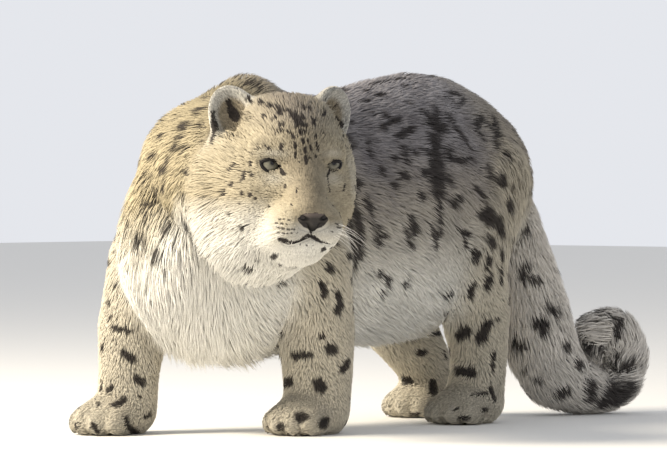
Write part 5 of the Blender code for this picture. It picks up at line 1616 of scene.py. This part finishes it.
def eye_material():
    made = bpy.data.materials.new("eye")
    made.use_nodes = True
    nodes, links = made.node_tree.nodes, made.node_tree.links
    shader = nodes["Principled BSDF"]
    shader.inputs["Roughness"].default_value = 0.35
    shader.inputs["Specular IOR Level"].default_value = 0.05
    shader.inputs["Coat Weight"].default_value = 0.8
    shader.inputs["Coat Roughness"].default_value = 0.03
    place = nodes.new("ShaderNodeTexCoord")
    split = nodes.new("ShaderNodeSeparateXYZ")
    flat = nodes.new("ShaderNodeCombineXYZ")
    size = nodes.new("ShaderNodeVectorMath")
    size.operation = "LENGTH"
    links.new(place.outputs["Object"], split.inputs[0])
    links.new(split.outputs["X"], flat.inputs["X"])
    links.new(split.outputs["Y"], flat.inputs["Y"])
    links.new(flat.outputs[0], size.inputs[0])
    streak = nodes.new("ShaderNodeTexNoise")
    streak.inputs["Scale"].default_value = 420
    streak.inputs["Detail"].default_value = 4
    links.new(place.outputs["Object"], streak.inputs["Vector"])
    share = nodes.new("ShaderNodeMath")
    share.operation = "DIVIDE"
    share.inputs[1].default_value = EYE_RADIUS
    links.new(size.outputs["Value"], share.inputs[0])
    black = (0.006, 0.005, 0.005, 1)
    rings = ramp(nodes, [
        (0.0, black), (PUPIL / EYE_RADIUS, black), (PUPIL / EYE_RADIUS + 0.02, IRIS_DEEP), (0.42, IRIS_PALE),
        (0.70, IRIS_PALE), (IRIS / EYE_RADIUS - 0.02, IRIS_DEEP), (IRIS / EYE_RADIUS + 0.02, black),
        (1.0, (0.03, 0.024, 0.02, 1)),
    ])
    links.new(share.outputs[0], rings.inputs["Fac"])
    vary = nodes.new("ShaderNodeMapRange")
    vary.inputs["From Min"].default_value = 0.3
    vary.inputs["From Max"].default_value = 0.7
    vary.inputs["To Min"].default_value = 0.78
    vary.inputs["To Max"].default_value = 1.1
    links.new(streak.outputs["Fac"], vary.inputs["Value"])
    mix = nodes.new("ShaderNodeMix")
    mix.data_type = "RGBA"
    mix.blend_type = "MULTIPLY"
    mix.inputs["Factor"].default_value = 1.0
    links.new(rings.outputs["Color"], mix.inputs["A"])
    links.new(vary.outputs["Result"], mix.inputs["B"])
    # Painted shadow: the eye's colour is darkened towards its top, as if the upper lid shaded it.
    lid = nodes.new("ShaderNodeMapRange")
    lid.inputs["From Min"].default_value = 0.0005
    lid.inputs["From Max"].default_value = 0.0058
    lid.inputs["To Min"].default_value = 1.0
    lid.inputs["To Max"].default_value = 0.25
    links.new(split.outputs["Y"], lid.inputs["Value"])
    under = nodes.new("ShaderNodeMix")
    under.data_type = "RGBA"
    under.blend_type = "MULTIPLY"
    under.inputs["Factor"].default_value = 1.0
    links.new(mix.outputs["Result"], under.inputs["A"])
    links.new(lid.outputs["Result"], under.inputs["B"])
    links.new(under.outputs["Result"], shader.inputs["Base Color"])
    return made


def make_eye(name, node, side, paint):
    shape = bmesh.new()
    bmesh.ops.create_uvsphere(shape, u_segments=64, v_segments=40, radius=EYE_RADIUS)
    for vert in shape.verts:
        flat = math.hypot(vert.co.x, vert.co.y)
        if vert.co.z > 0 and flat < IRIS:
            vert.co.z += 0.0012 * (1 - (flat / IRIS) ** 2)
    mesh = bpy.data.meshes.new(name)
    shape.to_mesh(mesh)
    shape.free()
    mesh.shade_smooth()
    mesh.materials.append(paint)
    eye = linked(name, mesh)
    middle = from_head((EYE_PLACE[0], side * EYE_PLACE[1], EYE_PLACE[2])) + SHIFT
    turn = math.radians(GAZE)
    gaze = Vector(np.array([math.cos(turn), math.sin(turn), GAZE_UP]) @ HEAD_AXES)
    eye.matrix_world = Matrix.Translation(middle) @ gaze.to_track_quat("Z", "Y").to_matrix().to_4x4()
    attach(eye, "root")
    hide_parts(node)


eye_paint = eye_material()
make_eye("left_eyeball", "left_eye", 1, eye_paint)
make_eye("right_eyeball", "right_eye", -1, eye_paint)

# %% [markdown]
# ## Lid rims, lips, nose and whiskers
# The rims of the lids and the lips are bare, black and moist, so they are smooth tubes that lie along
# the openings. The nose is leather: one form with comma-shaped nostrils cut into it.

# %% Wet black edges
def dark_material(name, colour, rough, wet):
    made = bpy.data.materials.new(name)
    made.use_nodes = True
    nodes, links = made.node_tree.nodes, made.node_tree.links
    shader = nodes["Principled BSDF"]
    shader.inputs["Roughness"].default_value = rough
    shader.inputs["Specular IOR Level"].default_value = 0.12
    shader.inputs["Coat Weight"].default_value = wet
    shader.inputs["Coat Roughness"].default_value = 0.15
    grain = nodes.new("ShaderNodeTexVoronoi")
    grain.inputs["Scale"].default_value = 900
    tint = ramp(nodes, [(0.0, (*colour, 1)), (0.6, (*(c * 1.7 for c in colour), 1))])
    links.new(grain.outputs["Distance"], tint.inputs["Fac"])
    links.new(tint.outputs["Color"], shader.inputs["Base Color"])
    bump = nodes.new("ShaderNodeBump")
    bump.inputs["Strength"].default_value = 0.35
    bump.inputs["Distance"].default_value = 0.0006
    links.new(grain.outputs["Distance"], bump.inputs["Height"])
    links.new(bump.outputs["Normal"], shader.inputs["Normal"])
    return made


def tube_mesh(name, path, radii, sides=10, closed=False):
    """A round tube through some places, with a radius at each."""
    path = np.array(path)
    count = len(path)
    if closed:
        ways = unit(np.roll(path, -1, axis=0) - np.roll(path, 1, axis=0))
    else:
        ways = unit(np.gradient(path, axis=0))
    lead = unit(np.cross(ways, [0.21, 0.13, 0.97]))
    other = np.cross(ways, lead)
    turns = np.arange(sides) * 2 * math.pi / sides
    rings = lead[:, None] * np.cos(turns)[None, :, None] + other[:, None] * np.sin(turns)[None, :, None]
    points = path[:, None] + rings * np.array(radii)[:, None, None]
    faces = []
    for i in range(count if closed else count - 1):
        after = (i + 1) % count
        for k in range(sides):
            step = (k + 1) % sides
            faces.append((i * sides + k, i * sides + step, after * sides + step, after * sides + k))
    if not closed:
        faces.append(tuple(range(sides))[::-1])
        faces.append(tuple((count - 1) * sides + k for k in range(sides)))
    mesh = bpy.data.meshes.new(name)
    mesh.from_pydata((points.reshape(-1, 3) + SHIFT).tolist(), [], faces)
    mesh.shade_smooth()
    return mesh


rim_paint = dark_material("rim", (0.007, 0.006, 0.006), 0.55, 0.12)
RIM_POINTS = 48
RIM_RADII = (0.0027, 0.0036)      # at the corners and lower lid, and along the upper lid


def make_rim(side):
    path, radii = [], []
    opening = OPENINGS[side]
    for i in range(RIM_POINTS):
        turn = 2 * math.pi * i / RIM_POINTS
        power = 2 / 1.9
        across = opening[0] * math.copysign(abs(math.cos(turn)) ** power, math.cos(turn))
        lifted = opening[1 if math.sin(turn) > 0 else 2] * math.copysign(abs(math.sin(turn)) ** power, math.sin(turn))
        inner, outer = max(0.0, -across / opening[0]), max(0.0, across / opening[0])
        rise = lifted - CORNER_DROP * inner ** 2 + CORNER_LIFT * outer ** 2
        ahead = math.sqrt(max((EYE_RADIUS + 0.0006) ** 2 - across ** 2 - rise ** 2, 0.0002 ** 2))
        path.append((EYE_PLACE[0] + ahead, side * (EYE_PLACE[1] + across), EYE_PLACE[2] + rise))
        radii.append(RIM_RADII[0] + (RIM_RADII[1] - RIM_RADII[0]) * max(0.0, math.sin(turn)))
    mesh = tube_mesh("rim", from_head(path), radii, closed=True)
    mesh.materials.append(rim_paint)
    rim = linked("left_lid_rim" if side > 0 else "right_lid_rim", mesh)
    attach(rim, "root")


def make_lips():
    half = [(l, u) for l, u in MOUTH_LINE]
    fine = []
    for (l0, u0), (l1, u1) in zip(half, half[1:]):
        fine += [(l0 + (l1 - l0) * k / 5, u0 + (u1 - u0) * k / 5) for k in range(5)]
    fine.append(half[-1])
    whole = fine + [(-l, u) for l, u in fine[:-1][::-1]]
    path, radii = [], []
    for l, u in whole:
        path.append((face_ahead(l, u) - 0.0004, l, u))
        radii.append(0.0022)
    mesh = tube_mesh("lips", from_head(path), radii)
    mesh.materials.append(rim_paint)
    lips = linked("lips", mesh)
    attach(lips, "root")


for side in (1, -1):
    make_rim(side)
make_lips()

# %% Nose
NOSE_MIDDLE = (0.043, 0.0, -0.086)
NOSE_TOP = np.array([3.4, 3.1, 3.0])
NOSTRILS = [(0.066, 0.0065, -0.0905, 0.0026), (0.061, 0.0135, -0.0880, 0.0034), (0.050, 0.0235, -0.0815, 0.0022),
            (0.042, 0.0275, -0.0785, 0.0010)]


def nose_distance(points):
    local = to_head(points)
    masses = [
        round_distance(local, (0.038, 0.0, -0.0825), (0.0225, 0.0275, 0.0165)),
        round_distance(local, (0.048, 0.0, -0.0970), (0.0110, 0.0085, 0.0100)),
    ]
    for side in (1, -1):
        masses.append(round_distance(local, (0.040, side * 0.0190, -0.0885), (0.0140, 0.0110, 0.0095)))
    solid = joined(masses, 0.0025)
    for side in (1, -1):
        solid = cut(solid, line_distance(local, [(f, side * l, u, r) for f, l, u, r in NOSTRILS]), 0.0008)
    return cut(solid, line_distance(local, [(0.0625, 0.0, -0.082, 0.0008), (0.060, 0.0, -0.107, 0.0012)]), 0.0008)


def nose_material():
    made = dark_material("nose", (0.036, 0.032, 0.029), 0.65, 0.08)
    nodes, links = made.node_tree.nodes, made.node_tree.links
    shader = nodes["Principled BSDF"]
    tint = shader.inputs["Base Color"].links[0].from_socket
    mix = nodes.new("ShaderNodeMix")
    mix.data_type = "RGBA"
    mix.blend_type = "MULTIPLY"
    mix.inputs["Factor"].default_value = 1.0
    links.new(tint, mix.inputs["A"])
    links.new(attribute(nodes, "coat").outputs["Color"], mix.inputs["B"])
    links.new(mix.outputs["Result"], shader.inputs["Base Color"])
    return made


def make_nose():
    shape = bmesh.new()
    add_ball(shape, head_matrix() @ Matrix.Translation(NOSE_MIDDLE), (0.021, 0.027, 0.017), 6)
    mesh = bpy.data.meshes.new("nose")
    shape.to_mesh(mesh)
    shape.free()
    settle(mesh, lambda points: slope_of(nose_distance, points), 6, 2)
    points = corners_of(mesh)
    local = to_head(points)
    wing = [(f, abs(l), u, r) for f, l, u, r in NOSTRILS]
    folded = local * np.array([1, 0, 1]) + np.abs(local) * np.array([0, 1, 0])
    # Painted shade: the nostrils and the nose's lower edge are painted near black, as shade in the nostrils and under
    # the nose.
    deep = np.clip(1.3 - (line_distance(folded, wing) + 0.0003) / 0.0024, 0, 1)
    edge = [(0.052, 0.000, -0.106, 0.001), (0.048, 0.012, -0.0965, 0.001), (0.038, 0.030, -0.088, 0.001)]
    under = np.clip(1.6 - line_distance(folded, edge) / 0.0060, 0, 1)
    low = np.clip((-0.076 - local[:, 2]) / 0.010, 0, 1)
    tint = blend(np.tile(NOSE_TOP, (len(points), 1)), np.full(3, 0.8), low)
    tint = blend(tint, np.full(3, 0.04), under)
    paint_corners(mesh, blend(tint, np.full(3, 0.04), deep))
    mesh.vertices.foreach_set("co", (points + SHIFT).ravel())
    mesh.shade_smooth()
    mesh.materials.append(nose_material())
    nose = linked("nose_leather", mesh)
    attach(nose, "root")
    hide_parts("nose_pad")


make_nose()

# %% Whiskers
WHISKER_ROWS = [(-0.094, 4), (-0.101, 5), (-0.108, 5)]
WHISKER_ROOT, WHISKER_TIP = 0.00042, 0.00010


def whisker_material():
    made = dark_material("whisker", (0.60, 0.58, 0.54), 0.35, 0.2)
    return made


def make_whiskers(draw):
    paint = whisker_material()
    for side, name in ((1, "left_whiskers"), (-1, "right_whiskers")):
        shape = bmesh.new()
        for up, count in WHISKER_ROWS:
            for k in range(count):
                across = 0.022 + 0.024 * k / (count - 1)
                start = np.array([face_ahead(side * across, up) - 0.002, side * across, up])
                length = draw.uniform(0.050, 0.078)
                way = np.array([-0.10 - 0.40 * k / count, side * 0.90, -0.15 - 2.0 * (-up - 0.100)])
                way = way / np.linalg.norm(way) + draw.normal(0, 0.07, 3)
                path = []
                for step in np.linspace(0, 1, 10):
                    bend = np.array([-0.030, 0, -0.022]) * step ** 2 * (length / 0.08)
                    path.append(start + way * length * step + bend)
                radii = np.linspace(WHISKER_ROOT, WHISKER_TIP, 10)
                part = tube_mesh("part", from_head(path), radii, 5)
                shape.from_mesh(part)
                bpy.data.meshes.remove(part)
        mesh = bpy.data.meshes.new(name)
        shape.to_mesh(mesh)
        shape.free()
        mesh.shade_smooth()
        mesh.materials.append(paint)
        piece = linked(name, mesh)
        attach(piece, "root")


make_whiskers(np.random.default_rng(3))
